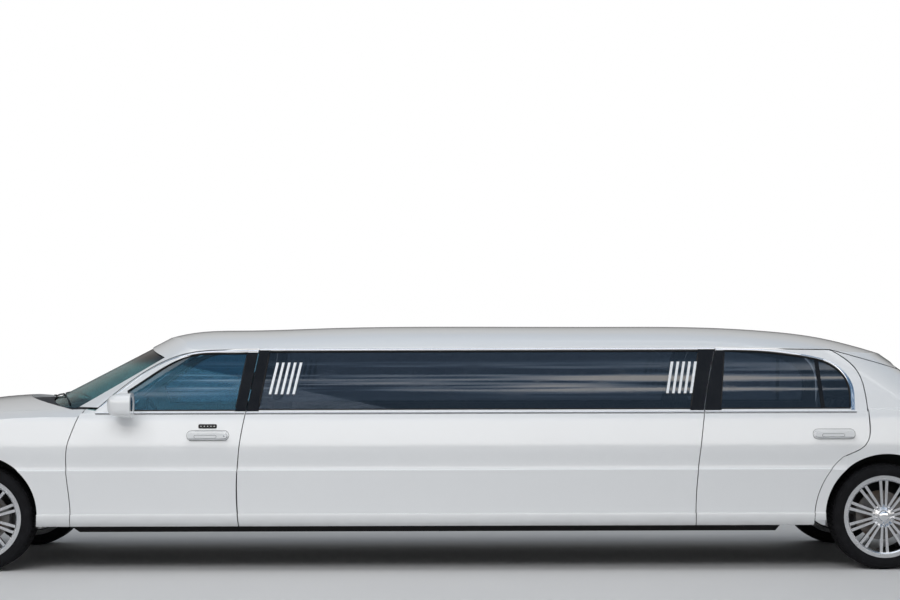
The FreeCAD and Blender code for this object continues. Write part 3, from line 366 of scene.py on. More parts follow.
def shell(outer, inner):
    """Closed sheet between two grids of points of one size; a point may be None, and leaves a hole."""
    work = bmesh.new()
    grids = [[[work.verts.new(point) if point else None for point in row] for row in grid]
             for grid in (outer, inner)]
    for grid in grids:
        for a, b in zip(grid, grid[1:]):
            for quad in zip(a, a[1:], b[1:], b):
                if all(quad):
                    work.faces.new(quad)
    under = {a: b for top, low in zip(*grids) for a, b in zip(top, low) if a}
    for edge in [e for e in work.edges if e.is_boundary and e.verts[0] in under]:
        a, b = edge.verts
        work.faces.new((a, b, under[b], under[a]))
    return outwards(work)


def sweep(path, profile, closed=False, work=None):
    """Carries a closed profile of (across, out) points along a path of (point, outward normal, scale)."""
    work = work or bmesh.new()
    rings, count = [], len(path)
    for i, (spot, normal, size) in enumerate(path):
        before = path[i - 1][0] if closed or i else spot
        after = path[(i + 1) % count][0] if closed or i < count - 1 else spot
        across = (after - before).normalized().cross(normal).normalized()
        rings.append([work.verts.new(spot + across * a * size + normal * o) for a, o in profile])
    return outwards(joined(work, rings, closed))


def turned(points, centre, segments=64):
    """Solid of revolution about an axle along Y, from closed (radius, y) points."""
    work, rings = bmesh.new(), []
    for i in range(segments):
        angle = 2 * math.pi * i / segments
        rings.append([work.verts.new((centre.x + r * math.cos(angle), y, centre.z + r * math.sin(angle)))
                      for r, y in points])
    joined(work, rings, True)
    bmesh.ops.dissolve_degenerate(work, edges=work.edges, dist=1e-6)
    return outwards(work)


def slab(corners, thickness, bevel=0.0):
    """Flat polygon of 3-D corners thickened along its normal."""
    work = bmesh.new()
    face = work.faces.new([work.verts.new(c) for c in corners])
    face.normal_update()
    normal = face.normal.copy()
    top = bmesh.ops.extrude_face_region(work, geom=[face])["geom"]
    lifted = [v for v in top if isinstance(v, bmesh.types.BMVert)]
    bmesh.ops.translate(work, vec=normal * thickness, verts=lifted)
    if bevel:
        bmesh.ops.bevel(work, geom=list(work.edges), offset=bevel, segments=2, affect="EDGES", profile=0.6)
    return outwards(work)


def block(low, high, bevel=0.0, segments=2, work=None):
    work = work or bmesh.new()
    made = bmesh.ops.create_cube(work, size=1.0)["verts"]
    for v in made:
        v.co = Vector([low[i] + (v.co[i] + 0.5) * (high[i] - low[i]) for i in range(3)])
    if bevel:
        edges = {e for v in made for e in v.link_edges}
        bmesh.ops.bevel(work, geom=list(edges), offset=bevel, segments=segments, affect="EDGES", profile=0.5)
    return outwards(work)


def oval(width, height, count):
    """Points of an oval about the origin, by its half width and half height."""
    turns = [2 * math.pi * i / count for i in range(count)]
    return [(width * math.cos(a), height * math.sin(a)) for a in turns]


def rounded(width, height, radius, steps):
    """Points of a rounded rectangle about the origin."""
    points = []
    for cx, cy, start in ((1, 1, 0), (-1, 1, 90), (-1, -1, 180), (1, -1, 270)):
        for i in range(steps + 1):
            angle = math.radians(start + 90 * i / steps)
            points.append((cx * (width / 2 - radius) + radius * math.cos(angle),
                           cy * (height / 2 - radius) + radius * math.sin(angle)))
    return points


def plate(work, centre, axes, size, layers, steps):
    """Rounded plate through layers of (inset, corner radius, height)."""
    across, up, out = axes
    rings = []
    for inset, radius, lift in layers:
        outline = rounded(size[0] - 2 * inset, size[1] - 2 * inset, radius, steps)
        rings.append([work.verts.new(centre + across * a + up * b + out * lift) for a, b in outline])
    return joined(work, rings)


def smooth_line(points, steps=10):
    """Catmull-Rom line through points of any dimension."""
    points = [Vector(p) for p in points]
    line = []
    padded = [points[0] * 2 - points[1]] + points + [points[-1] * 2 - points[-2]]
    for a, b, c, d in zip(padded, padded[1:], padded[2:], padded[3:]):
        for i in range(steps):
            t = i / steps
            line.append(0.5 * (2 * b + (c - a) * t + (2 * a - 5 * b + 4 * c - d) * t ** 2
                               + (3 * b - a - 3 * c + d) * t ** 3))
    return line + [points[-1]]


class Skin:
    """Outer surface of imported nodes, met by looking straight at the driver's side."""

    def __init__(self, *names):
        verts, faces = [], []
        for name in names:
            mesh = NODES[name].data
            base = len(verts)
            verts += [v.co.copy() for v in mesh.vertices]
            faces += [[base + i for i in p.vertices] for p in mesh.polygons]
        self.tree = BVHTree.FromPolygons(verts, faces)

    def meet(self, x, z):
        spot, normal, _, _ = self.tree.ray_cast(Vector((x, -OUTSIDE, z)), -NEAR)
        return (spot, normal) if spot is not None and spot.y < -SIDE_LIMIT else None

    def at(self, x, z):
        met = self.meet(x, z)
        if met is None:
            raise ValueError("nothing of the body at x %.3f, z %.3f" % (x, z))
        spot, normal = met
        return spot, -normal if normal.y > 0 else normal

    def from_behind(self, y, z):
        """Where a look forwards from behind the car first meets the surface."""
        spot = self.tree.ray_cast(Vector((6.0, y, z)), Vector((-1, 0, 0)))[0]
        return None if spot is None else spot.x

    def edge(self, x, z, beyond):
        """How far from x towards beyond the surface goes on, less a hair."""
        hair, halvings = 0.0004, 14
        for _ in range(halvings):
            middle = (x + beyond) / 2
            if self.meet(middle, z):
                x = middle
            else:
                beyond = middle
        return x + math.copysign(hair, x - beyond)


def outer_loop(name):
    """The outer edge of a glass node, as an ordered ring of points."""
    work = bmesh.new()
    work.from_mesh(NODES[name].data)
    bmesh.ops.remove_doubles(work, verts=work.verts, dist=2e-5)
    sharp = {}
    for edge in work.edges:
        if len(edge.link_faces) != 2 or edge.calc_face_angle(0) < math.radians(40):
            continue
        way = (edge.verts[0].co - edge.verts[1].co).normalized()
        if abs(way.y) > 0.8:
            continue
        for a, b in (edge.verts, reversed(edge.verts)):
            sharp.setdefault(a, []).append(b)
    loops, seen = [], set()
    for first in sharp:
        if first in seen:
            continue
        ring, at = [], first
        while at is not None and at not in seen:
            seen.add(at)
            ring.append(at.co.copy())
            at = next((v for v in sharp[at] if v not in seen), None)
        loops.append(ring)
    loops = sorted(loops, key=len, reverse=True)[:2]
    best = min(loops, key=lambda ring: sum(p.y for p in ring) / len(ring))
    work.free()
    return best


# ---------------------------------------------------------------- padding

def plain_copy(made):
    graph = bpy.context.evaluated_depsgraph_get()
    return bpy.data.meshes.new_from_object(made.evaluated_get(graph))


def swollen(work, voxel, cap):
    """Mesh of a padded form: remeshed, blown up as cloth with its movement capped, then subdivided once."""
    made = new_object("padding", work)
    scene = bpy.context.scene
    remesh = made.modifiers.new("Remesh", "REMESH")
    remesh.mode, remesh.voxel_size, remesh.use_smooth_shade = "VOXEL", voxel, True
    made.data = plain_copy(made)
    made.modifiers.clear()
    start = [v.co.copy() for v in made.data.vertices]
    cloth = made.modifiers.new("Cloth", "CLOTH")
    cloth.settings.use_pressure = True
    cloth.settings.uniform_pressure_force = 4.0
    cloth.settings.effector_weights.gravity = 0
    cloth.settings.quality = 5
    cloth.settings.tension_stiffness = cloth.settings.compression_stiffness = 15
    cloth.point_cache.frame_start, cloth.point_cache.frame_end = 1, CLOTH_FRAMES
    for frame_number in range(1, CLOTH_FRAMES + 1):
        scene.frame_set(frame_number)
    blown = plain_copy(made)
    scene.frame_set(1)
    made.modifiers.clear()
    for v, was in zip(blown.vertices, start):
        way = v.co - was
        if way.length > cap:
            v.co = was + way.normalized() * cap
    made.data = blown
    smooth = made.modifiers.new("Smooth", "SUBSURF")
    smooth.levels = smooth.render_levels = 1
    finished = plain_copy(made)
    made.modifiers.clear()
    bpy.data.objects.remove(made)
    return finished


def channels(mesh, axis, places, width, depth, normal):
    """Sewn channels: sinks the faces that look along normal at each place along an axis."""
    axis, normal = Vector(axis), Vector(normal)
    facing = [max(v.normal.dot(normal), 0.0) for v in mesh.vertices]
    for v, share in zip(mesh.vertices, facing):
        along = v.co.dot(axis)
        sink = sum(math.exp(-((along - place) / width) ** 2) for place in places)
        v.co -= normal * depth * sink * share


def place_padded(name, mesh, matrix):
    copy = mesh.copy()
    copy.transform(matrix)
    made = new_object(name, copy)
    finish_mesh(made, "leather", 180.0)
    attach(made, "chassis")
    return made


# ---------------------------------------------------------------- settings

class LimoFinish(bpy.types.PropertyGroup):
    """Colours of the car."""
    body_colour: bpy.props.FloatVectorProperty(
        name="Body colour", description="Clear-coated body paint",
        default=(0.80, 0.81, 0.82), size=3, min=0.0, max=1.0, subtype="COLOR")
    side_tint: bpy.props.FloatVectorProperty(
        name="Side glass tint", description="Tint of the side and rear glass",
        default=(0.10, 0.12, 0.15), size=3, min=0.0, max=1.0, subtype="COLOR")
    door_tint: bpy.props.FloatVectorProperty(
        name="Front door glass tint", description="Tint of the front doors' glass",
        default=(0.07, 0.18, 0.26), size=3, min=0.0, max=1.0, subtype="COLOR")
    screen_tint: bpy.props.FloatVectorProperty(
        name="Windscreen tint", description="Tint of the windscreen",
        default=(0.20, 0.37, 0.38), size=3, min=0.0, max=1.0, subtype="COLOR")


class LimoTrim(bpy.types.PropertyGroup):
    """Sizes of the trim and fittings."""
    strip_width: bpy.props.FloatProperty(
        name="Bright strip width", description="Width of the bright strip round the windows", default=0.010,
        min=0.004, max=0.03, unit="LENGTH")
    belt_height: bpy.props.FloatProperty(
        name="Belt strip height", description="Height of the bright strip under the windows", default=0.013,
        min=0.004, max=0.03, unit="LENGTH")
    post_lift: bpy.props.FloatProperty(
        name="Post cover thickness", description="How far the black post covers stand on the posts",
        default=0.0015, min=0.0005, max=0.005, unit="LENGTH")
    rivet_count: bpy.props.IntProperty(
        name="Rim rivets", description="Small rivets round each rim lip", default=40, min=8, max=80)
    seat_voxel: bpy.props.FloatProperty(
        name="Seat mesh size", description="Voxel size of the padding before it swells", default=0.012,
        min=0.004, max=0.03, unit="LENGTH")
    seat_swell: bpy.props.FloatProperty(
        name="Seat swell", description="How far the padding may swell", default=0.024, min=0.0, max=0.04,
        unit="LENGTH")
    tread_blocks: bpy.props.IntProperty(
        name="Tread blocks", description="Blocks in each row of the tread", default=64, min=24, max=120)


class LimoLight(bpy.types.PropertyGroup):
    """The studio's lights."""
    top: bpy.props.FloatProperty(
        name="Top softbox", description="Power of the softbox overhead", default=230.0, min=0, unit="POWER")
    near: bpy.props.FloatProperty(
        name="Near softbox", description="Power of the softbox behind the camera", default=560.0, min=0,
        unit="POWER")
    far: bpy.props.FloatProperty(
        name="Far softbox", description="Power of the softbox on the far side", default=90.0, min=0,
        unit="POWER")
    fill: bpy.props.FloatProperty(
        name="Fill", description="Even light from all round", default=0.36, min=0, max=2)
    haze: bpy.props.FloatProperty(
        name="Haze", description="Brightness of the low sky that the paint mirrors", default=2.2,
        min=0, max=6)
    cloud: bpy.props.FloatProperty(
        name="Cloud", description="Brightness of the streaks that the glass mirrors", default=2.2,
        min=0, max=6)


class LimoCamera(bpy.types.PropertyGroup):
    """Where the picture is taken from."""
    place: bpy.props.FloatVectorProperty(
        name="Camera place", description="Camera position", default=(-0.05, -13.48, 1.51), size=3,
        subtype="TRANSLATION", unit="LENGTH")
    pitch: bpy.props.FloatProperty(
        name="Pitch", description="Upward tilt of the camera", default=math.radians(1.35), subtype="ANGLE",
        unit="ROTATION")
    roll: bpy.props.FloatProperty(
        name="Roll", description="Roll of the camera", default=math.radians(-0.15), subtype="ANGLE",
        unit="ROTATION")
    lens: bpy.props.FloatProperty(
        name="Lens", description="Focal length on a 36 mm wide frame", default=74.96, min=20, max=300,
        unit="CAMERA")


# ---------------------------------------------------------------- geometry nodes

def copies_tree(name):
    """Node tree that repeats its mesh round an axle along Y."""
    tree = bpy.data.node_groups.new(name, "GeometryNodeTree")
    for label, kind in (("Geometry", "Geometry"), ("Copies", "Int"), ("Axle", "Vector"),
                        ("Start angle", "Float"), ("Finish", "Material")):
        tree.interface.new_socket(label, in_out="INPUT", socket_type="NodeSocket" + kind)
    tree.interface.new_socket("Geometry", in_out="OUTPUT", socket_type="NodeSocketGeometry")
    nodes = {label: tree.nodes.new(kind) for label, kind in (
        ("source", "NodeGroupInput"), ("end", "NodeGroupOutput"), ("points", "GeometryNodePoints"),
        ("index", "GeometryNodeInputIndex"), ("place", "GeometryNodeInstanceOnPoints"),
        ("turn", "GeometryNodeRotateInstances"), ("real", "GeometryNodeRealizeInstances"),
        ("dress", "GeometryNodeSetMaterial"), ("step", "ShaderNodeMath"), ("share", "ShaderNodeMath"),
        ("angle", "ShaderNodeMath"), ("axis", "ShaderNodeCombineXYZ"))}
    for label, operation in (("step", "DIVIDE"), ("share", "MULTIPLY"), ("angle", "ADD")):
        nodes[label].operation = operation
    nodes["step"].inputs[0].default_value = 2 * math.pi
    nodes["turn"].inputs["Local Space"].default_value = False
    for giver, out, taker, into in (
            ("source", "Copies", "points", "Count"), ("points", 0, "place", "Points"),
            ("source", "Geometry", "place", "Instance"), ("place", 0, "turn", "Instances"),
            ("source", "Copies", "step", 1), ("index", 0, "share", 0), ("step", 0, "share", 1),
            ("share", 0, "angle", 0), ("source", "Start angle", "angle", 1), ("angle", 0, "axis", "Y"),
            ("axis", 0, "turn", "Rotation"), ("source", "Axle", "turn", "Pivot Point"),
            ("turn", 0, "real", 0), ("real", 0, "dress", "Geometry"),
            ("source", "Finish", "dress", "Material"), ("dress", 0, "end", 0)):
        tree.links.new(nodes[giver].outputs[out], nodes[taker].inputs[into])
    return tree


def repeated(name, work, key, body, count, axle, start=0.0):
    """A mesh repeated round an axle, made plain and riding on a body."""
    made = new_object(name, work)
    modifier = made.modifiers.new("Copies", "NODES")
    label = "Copies round an axle"
    modifier.node_group = bpy.data.node_groups.get(label) or copies_tree(label)
    sockets = [item for item in modifier.node_group.interface.items_tree if item.in_out == "INPUT"]
    for socket, value in zip(sockets[1:], (count, tuple(axle), start, paint(key))):
        modifier[socket.identifier] = value
    made.update_tag()
    plain = plain_copy(made)
    made.modifiers.clear()
    made.data = plain
    finish_mesh(made, key)
    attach(made, body)
    return made


# ---------------------------------------------------------------- pieces

class LIMO_OT_studio(bpy.types.Operator):
    """Pale floor, soft light and the camera"""
    bl_idname = "limo.studio"
    bl_label = "Studio and camera"

    def floor(self):
        work = bmesh.new()
        bmesh.ops.create_grid(work, x_segments=1, y_segments=1, size=FLOOR_HALF)
        floor = new_object("floor", work)
        f = Finish("pale studio floor")
        x, y, _ = f.axes()
        square = x * x + y * y
        reach = square.math("SQRT", square)
        seen = f.ray("Camera") + f.ray("Transmission")
        plain = f.surface(Base_Color=f.blend(f.noise(1.2, 4), rgb(0.60, 0.60, 0.605), rgb(0.64, 0.64, 0.64)),
                          Roughness=0.75)
        glow = f.node("ShaderNodeEmission", {}, {"Color": rgb(1, 1, 1), "Strength": 1.0})
        floor.data.materials.append(f.close(f.mix(reach.step(4.0, 15.0) * seen, plain, glow)))

    def world(self, scene, light):
        """White for the camera, even light for the rest, and for mirrors haze, blue sky and cloud streaks."""
        scene.world = bpy.data.worlds.new("studio")
        w = Finish("studio", scene.world)
        fill, white = [w.node("ShaderNodeBackground", {}, {0: colour, 1: strength}) for colour, strength in (
            (rgb(0.90, 0.95, 1.0), light.fill), (rgb(1, 1, 1), 1.0))]
        x, y, height = w.axes(GENERATED)
        rise = height.math("DIVIDE", height, y.math("ABSOLUTE", y))
        streak = w.node("ShaderNodeCombineXYZ", {}, {0: x * 2.6, 1: rise * 90.0})
        cloud = w.node("ShaderNodeTexNoise", {}, {"Vector": streak, "Scale": 1.0, "Detail": 3.0})
        cloud = cloud.step(0.46, 0.58) * rise.step(1.008, 1.020) * rise.step(1.054, 1.036)
        sky = height.step(0.45, 0.62)
        haze = height.step(0.02, 0.30, 0.22, light.haze) * (1.0 - sky) * y.step(-0.1, 0.2, 1.0, 0.16)
        level = haze + sky * (cloud * light.cloud + 0.30)
        tone = w.blend(sky * (1.0 - cloud), rgb(1.0, 0.97, 0.94), rgb(0.34, 0.62, 1.0))
        mirror = w.node("ShaderNodeBackground", {}, {0: tone, 1: level})
        w.close(w.mix(w.ray("Camera") + w.ray("Transmission"), w.mix(w.ray("Glossy"), fill, mirror), white))

    def execute(self, context):
        scene, light, view = context.scene, context.scene.limo_light, context.scene.limo_camera
        scene.view_settings.view_transform = "Standard"
        self.floor()
        self.world(scene, light)
        for name, place, aim, size, power in (      # only the one overhead is seen in the paint
                ("top softbox", (0, -2.5, 8.0), (0, 0, 0.5), (12, 5), light.top),
                ("near softbox", (-3, -10, 8.0), (0, 0, 0.8), (10, 4), light.near),
                ("far softbox", (4, 9, 6.0), (0, 0, 0.8), (9, 4), light.far)):
            lamp = bpy.data.lights.new(name, "AREA")
            lamp.shape, lamp.size, lamp.size_y, lamp.energy = "RECTANGLE", size[0], size[1], power
            made = new_object(name, lamp)
            made.location = place
            made.rotation_euler = (Vector(aim) - Vector(place)).to_track_quat("-Z", "Y").to_euler()
            made.visible_glossy = name == "top softbox"

        data = bpy.data.cameras.new("camera")
        data.lens, data.sensor_width, data.clip_end = view.lens, 36.0, 500.0
        camera = new_object("camera", data)
        camera.location = view.place
        camera.rotation_euler = (Matrix.Rotation(math.pi / 2 + view.pitch, 3, "X")
                                 @ Matrix.Rotation(view.roll, 3, "Z")).to_euler()
        scene.camera = camera
        return {"FINISHED"}


class LIMO_OT_finishes(bpy.types.Operator):
    """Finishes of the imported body, glass and running gear"""
    bl_idname = "limo.finishes"
    bl_label = "Finishes"

    def execute(self, context):
        table = {
            "white": ("door_", "mirror_", "stretch_", "roof_", "quarter_", "rear_deck", "front_fenders",
                      "hood", "trunk_lid", "front_bumper", "rear_bumper"),
            "glass": ("door_glass_rear_", "long_windows", "rear_window"),
            "door_glass": ("door_glass_front_",), "screen": ("windscreen",), "bars": ("window_bars",),
            "chrome": ("grille",), "lamp_clear": ("headlamps",), "lamp_red": ("tail_lamps",),
            "cowl": ("firewall_cowl",), "under": ("floor_pan", "frame_rails", "wheelhouse"),
            "cast": ("engine_block", "rear_axle", "front_suspension", "knuckle_"),
            "pipe": ("propeller_shaft", "exhaust"), "tank": ("fuel_tank",), "dash": ("dashboard",),
            "leather": ("steering_wheel", "front_seats", "lounge_seat"), "wood": ("bar_cabinet",),
            "alloy": ("wheel_",), "tyre": ("tyre_",),
        }
        for name, node in NODES.items():
            fits = [(len(stem), key) for key, stems in table.items() for stem in stems
                    if name.startswith(stem)]
            finish_mesh(node, max(fits)[1], 32)
        return {"FINISHED"}


class LIMO_OT_posts(bpy.types.Operator):
    """Gloss black covers on the posts between the windows"""
    bl_idname = "limo.posts"
    bl_label = "Post covers"

    def execute(self, context):
        lift, rows = context.scene.limo_trim.post_lift, 8
        past_glass, past_shut, tuck = 0.008, 0.030, 0.0012      # the first two: how far an edge is looked for
        covers = (      # x at foot and head of the glass edge, then of the shut line, and the head's z
            ("front_door", "door_front_left", "door_front_", (-1.489, -1.425), (-1.4225, -1.3545), 1.456),
            ("stretch_front", "stretch_panels", "chassis", (-1.342, -1.281), (-1.4125, -1.3445), 1.470),
            ("stretch_rear", "stretch_panels", "chassis", (1.566, 1.642), (1.648, 1.7435), 1.470),
            ("rear_door", "door_rear_left", "door_rear_", (1.762, 1.812), (1.6595, 1.757), 1.463),
        )
        for name, node, body, glass_x, shut_x, head_z in covers:
            lines = [(Vector((foot, POST_FOOT_Z)), Vector((head, head_z)))
                     for foot, head in (glass_x, shut_x)]
            skin, outer, inner = Skin(node), [], []
            for j in range(rows + 1):
                glass, shut = (foot.lerp(head, j / rows) for foot, head in lines)
                way = math.copysign(1, shut.x - glass.x)
                middle = (glass.x + shut.x) / 2
                near = skin.edge(middle, glass.y, glass.x - way * past_glass)
                far = skin.edge(middle, glass.y, shut.x + way * past_shut)
                spots = [skin.at(near + (far - near) * u, glass.y) for u in (0.0, 0.5, 1.0)]
                outer.append([spot + normal * lift for spot, normal in spots])
                inner.append([spot + Vector((out, lift * 2, 0))
                              for (spot, _), out in zip(spots, (0.0, 0.0, way * tuck))])
            add_pair("post_cover_" + name, shell(outer, inner), "post", body)
        return {"FINISHED"}


class LIMO_OT_window_rubber(bpy.types.Operator):
    """Black rubber round every side window"""
    bl_idname = "limo.window_rubber"
    bl_label = "Window rubber"

    def execute(self, context):
        lean = Vector((0, -0.917, 0.398))       # the way the side glass faces
        for name, node, body in (("front", "door_glass_front_left", "door_front_"),
                                 ("rear", "door_glass_rear_left", "door_rear_"),
                                 ("long", "long_windows", "chassis")):
            ring = outer_loop(node)
            centre = sum(ring, Vector()) / len(ring)
            inward = math.copysign(1, (ring[1] - ring[0]).cross(lean).dot(centre - ring[0]))
            profile = [(a * inward * MM, o * MM)
                       for a, o in ((-4, 7), (-3, 9.5), (3, 9), (8, 3), (8, 0.2), (-4, 0.2))]
            path = [(point, lean, 1.0) for point in ring]
            add_pair("rubber_" + name, sweep(path, profile, closed=True), "seal", body)
        return {"FINISHED"}


class LIMO_OT_bright_strips(bpy.types.Operator):
    """Bright strips over and under the windows"""
    bl_idname = "limo.bright_strips"
    bl_label = "Bright strips"

    def over(self, w):
        """Strips over the windows, along (x, z, scale) points."""
        half = ((1.0, -0.0005), (1.0, 0.0022), (0.6, 0.0036))
        profile = [(-w * share, out) for share, out in half] + [(w * share, out) for share, out in half[::-1]]
        for name, node, body, points in (
                ("front", "door_front_left", "door_front_",
                 [(-1.352, 1.468, 1), (-1.612, 1.464, 1), (-1.790, 1.450, 1), (-1.966, 1.402, 1),
                  (-2.136, 1.310, 1), (-2.290, 1.187, 1), (-2.405, 1.090, 1)]),
                ("long", "stretch_panels", "chassis",
                 [(-1.342, 1.4755, 1), (0.0, 1.4755, 1), (1.746, 1.4755, 1)]),
                ("rear", "door_rear_left", "door_rear_",
                 [(1.762, 1.470, 1), (1.949, 1.468, 1), (2.130, 1.459, 1), (2.320, 1.434, 1),
                  (2.489, 1.396, 1), (2.578, 1.346, 1.35), (2.636, 1.272, 1.9), (2.657, 1.198, 2.3),
                  (2.655, 1.120, 2.5), (2.652, 1.062, 2.5)])):
            skin, inner, search = Skin(node), points[1][0], 0.05
            for end in (0, -1) if name == "long" else (0,):
                x, z, size = points[end]
                points[end] = (skin.edge(inner, z, x - math.copysign(search, inner - x)), z, size)
            path = [(*skin.at(x, z), size) for x, z, size in smooth_line(points)]
            add_pair("window_strip_" + name, sweep(path, profile), "chrome", body)

    def under(self, h):
        """Bright strips along the foot of the windows, each with a black strip under it that stands for the
        shadow below the bright strip (painted shadow).
        """
        strip = [(-h, -0.020), (-h, 0.0015), (-h * 0.7, 0.003), (h * 0.5, 0.003), (h, -0.001), (h, -0.020)]
        shadow_strip = [(-0.0035, -0.003), (-0.0035, 0.0012), (0.0035, 0.0012), (0.0035, -0.003)]
        for name, node, body, x0, x1 in (("front", "door_front_left", "door_front_", -2.425, -1.428),
                                         ("long", "stretch_panels", "chassis", -1.4175, 1.649),
                                         ("rear", "door_rear_left", "door_rear_", 1.657, 2.668)):
            skin, search = Skin(node), 0.1
            x0 = max(x0, skin.edge((x0 + x1) / 2, BELT_Z, x0 - search))
            x1 = min(x1, skin.edge((x0 + x1) / 2, BELT_Z, x1 + search))
            spots = [skin.at(x0 + (x1 - x0) * i / 24, BELT_Z)[0] for i in range(25)]
            # the black strip just under the bright one is painted shadow
            for part, profile, z, key in (("strip", strip, 1.0515, "chrome"),
                                          ("rubber", shadow_strip, 1.0415, "seal")):
                path = [(Vector((spot.x, spot.y, z)), NEAR, 1.0) for spot in spots]
                add_pair("belt_%s_%s" % (name, part), sweep(path, profile), key, body)

    def execute(self, context):
        trim = context.scene.limo_trim
        self.over(trim.strip_width / 2)
        self.under(trim.belt_height / 2)
        return {"FINISHED"}


class LIMO_OT_door_fittings(bpy.types.Operator):
    """Handle surrounds, black rings standing for the shadow round and under each handle (painted shadow),
    locks and the blank five-button pad
    """
    bl_idname = "limo.door_fittings"
    bl_label = "Door fittings"

    def execute(self, context):
        handle_z, lock_dx, lock_dy, facets = 0.905, 0.118, 0.015, 24
        for end, cx in (("front", -1.668), ("rear", 2.509)):
            skin = Skin("door_%s_left" % end)
            for name, key, width, height, dx, dz, profile in (
                    ("surround", "white", 0.272, 0.057, 0, 0,
                     ((-4, -1), (-3.2, 2.8), (0, 3.8), (3.2, 2.8), (4, -1))),
                    # the two black rings round the surround and under the bar stand for the shadow there:
                    # painted shadow
                    ("gasket", "seal", 0.282, 0.067, 0, 0, ((-1.2, -1), (-0.9, 1), (0.9, 1), (1.2, -1))),
                    ("pocket_shadow", "seal", 0.148, 0.020, -0.012, -0.006,
                     ((-0.9, -1), (-0.7, 0.8), (0.7, 0.8), (0.9, -1)))):
                path = [(*skin.at(cx + dx + a, handle_z + dz + b), 1.0)
                        for a, b in rounded(width, height, height * 0.495, 8)]
                work = sweep(path, [(a * MM, o * MM) for a, o in profile], closed=True)
                add_pair("handle_%s_%s" % (name, end), work, key, "door_%s_" % end)
            if end == "front":
                lock, _ = skin.at(cx + lock_dx, handle_z)
                turn = turned([(r * MM, lock.y + lock_dy - y * MM) for r, y in (
                    (0, 46.5), (4.8, 46.5), (6, 45.5), (6, 40), (0, 40))], lock, facets)
                add_pair("door_lock_front", turn, "chrome", "door_front_")

        pad_x, pad_z, button_pitch = -1.670, 0.9655, 0.022
        base, normal = Skin("door_front_left").at(pad_x, pad_z)
        across = Vector((1, 0, 0))
        up = across.cross(normal)
        axes = across, up * math.copysign(1, up.z), normal
        pad, buttons = bmesh.new(), bmesh.new()
        for size, radius, x, low, high, work in (
                [((0.124, 0.029), 0.009, 0.0, -0.004, 0.0035, pad)]
                + [((0.0070, 0.0040), 0.0015, button_pitch * i, 0.003, 0.0045, buttons)
                   for i in (-2, -1, 0, 1, 2)]):
            layers = ((0, radius, low), (0, radius, high - 0.001), (0.001, radius - 0.001, high))
            plate(work, base + across * x, axes, size, layers, 5)
        add_pair("key_pad", outwards(pad), "post", "door_front_")
        add_pair("key_pad_buttons", outwards(buttons), "bars", "door_front_")
        return {"FINISHED"}


class LIMO_OT_arch_band(bpy.types.Operator):
    """Body-coloured band between the rear door and the wheel arch"""
    bl_idname = "limo.arch_band"
    bl_label = "Rear arch band"

    def execute(self, context):
        skin = Skin("door_rear_left")
        arch_x, arch_z, arch_r, panel_x, shut, depth = 2.861, 0.357, 0.415, 2.5994, 0.006, 0.010
        low_z, high_z, rows, inset, least, outer = 0.3335, 0.790, 60, 0.004, 0.004, []
        for j in range(rows + 1):
            z = low_z + (high_z - low_z) * j / rows
            door = skin.edge(2.30, z, 2.70)
            rise = z - arch_z
            opening = arch_x - math.sqrt(arch_r ** 2 - rise ** 2) if 0 < rise < arch_r else arch_x - arch_r
            low, high = door + shut, min(opening if rise < arch_r else panel_x, panel_x)
            if high - low < least:
                break
            y = skin.at(door - inset, z)[0].y
            outer.append([Vector((low + (high - low) * k / 4, y, z)) for k in range(5)])
        inner = [[point - NEAR * depth for point in row] for row in outer]
        add_pair("arch_band", shell(outer, inner), "white")
        return {"FINISHED"}


class LIMO_OT_tail_corners(bpy.types.Operator):
    """Body-coloured corners over and under the tail lamps, beside the boot lid"""
    bl_idname = "limo.tail_corners"
    bl_label = "Tail corners"

    def execute(self, context):
        inside, outside, lid = Skin("trunk_lid", "rear_bumper"), Skin("quarter_panels"), Skin("trunk_lid")
        lid_y, first, last, panel_y, depth = -0.4975, 0.5065, 0.5985, -0.6025, 0.010
        lamp_low, lamp_high, bumper_top, gap_z, shut = 0.720, 0.930, 0.684, 0.700, 0.003

        def rear_x(skin, y, z):
            """Rear face of the body there, or at the height between bumper and lid where neither is met."""
            return skin.from_behind(y, z) or skin.from_behind(y, gap_z)

        for name, foot, head in (("over", lamp_high + 0.001, None),
                                 ("under", bumper_top + 0.0015, lamp_low - 0.001)):
            outer = []
            for k in range(7):
                share = k / 6
                y = first + (last - first) * share
                top = head
                if top is None:
                    top = next(z * MM for z in range(960, 1100) if lid.from_behind(-y, z * MM)) - shut
                column = []
                for j in range(9):
                    z = foot + (top - foot) * j / 8
                    x = rear_x(inside, lid_y, z) * (1 - share) + rear_x(outside, panel_y, z) * share
                    column.append(Vector((x, -y, z)))
                outer.append(column)
            inner = [[point - Vector((depth, 0, 0)) for point in column] for column in outer]
            add_pair("tail_corner_" + name, shell(outer, inner), "white")
        return {"FINISHED"}


class LIMO_OT_window_bar(bpy.types.Operator):
    """Black bar that divides the rear door's window"""
    bl_idname = "limo.window_bar"
    bl_label = "Rear window bar"

    def execute(self, context):
        glass = Skin("door_glass_rear_left")
        foot, head = Vector((2.455, 1.060)), Vector((2.433, 1.420))
        places = [foot.lerp(head, i / 32) for i in range(33)]
        path = [(*glass.at(x, z), 1.0) for x, z in places if glass.meet(x, z)]
        profile = [(-0.014, -0.0005), (-0.013, 0.003), (0.013, 0.003), (0.014, -0.0005)]
        add_pair("window_bar_rear", sweep(path, profile), "post", "door_rear_")
        return {"FINISHED"}


class LIMO_OT_mirror_glass(bpy.types.Operator):
    """Silvered glass in the door mirrors"""
    bl_idname = "limo.mirror_glass"
    bl_label = "Mirror glass"

    def execute(self, context):
        axes = Vector((0, 1, 0)), UP, Vector((1, 0, 0))
        layers = ((0, 0.034, 0), (0, 0.034, 0.005), (0.0015, 0.034, 0.0065))
        work = plate(bmesh.new(), Vector((-2.163, -1.078, 1.112)), axes, (0.150, 0.122), layers, 6)
        add_pair("mirror_glass", outwards(work), "chrome", "door_front_")
        return {"FINISHED"}


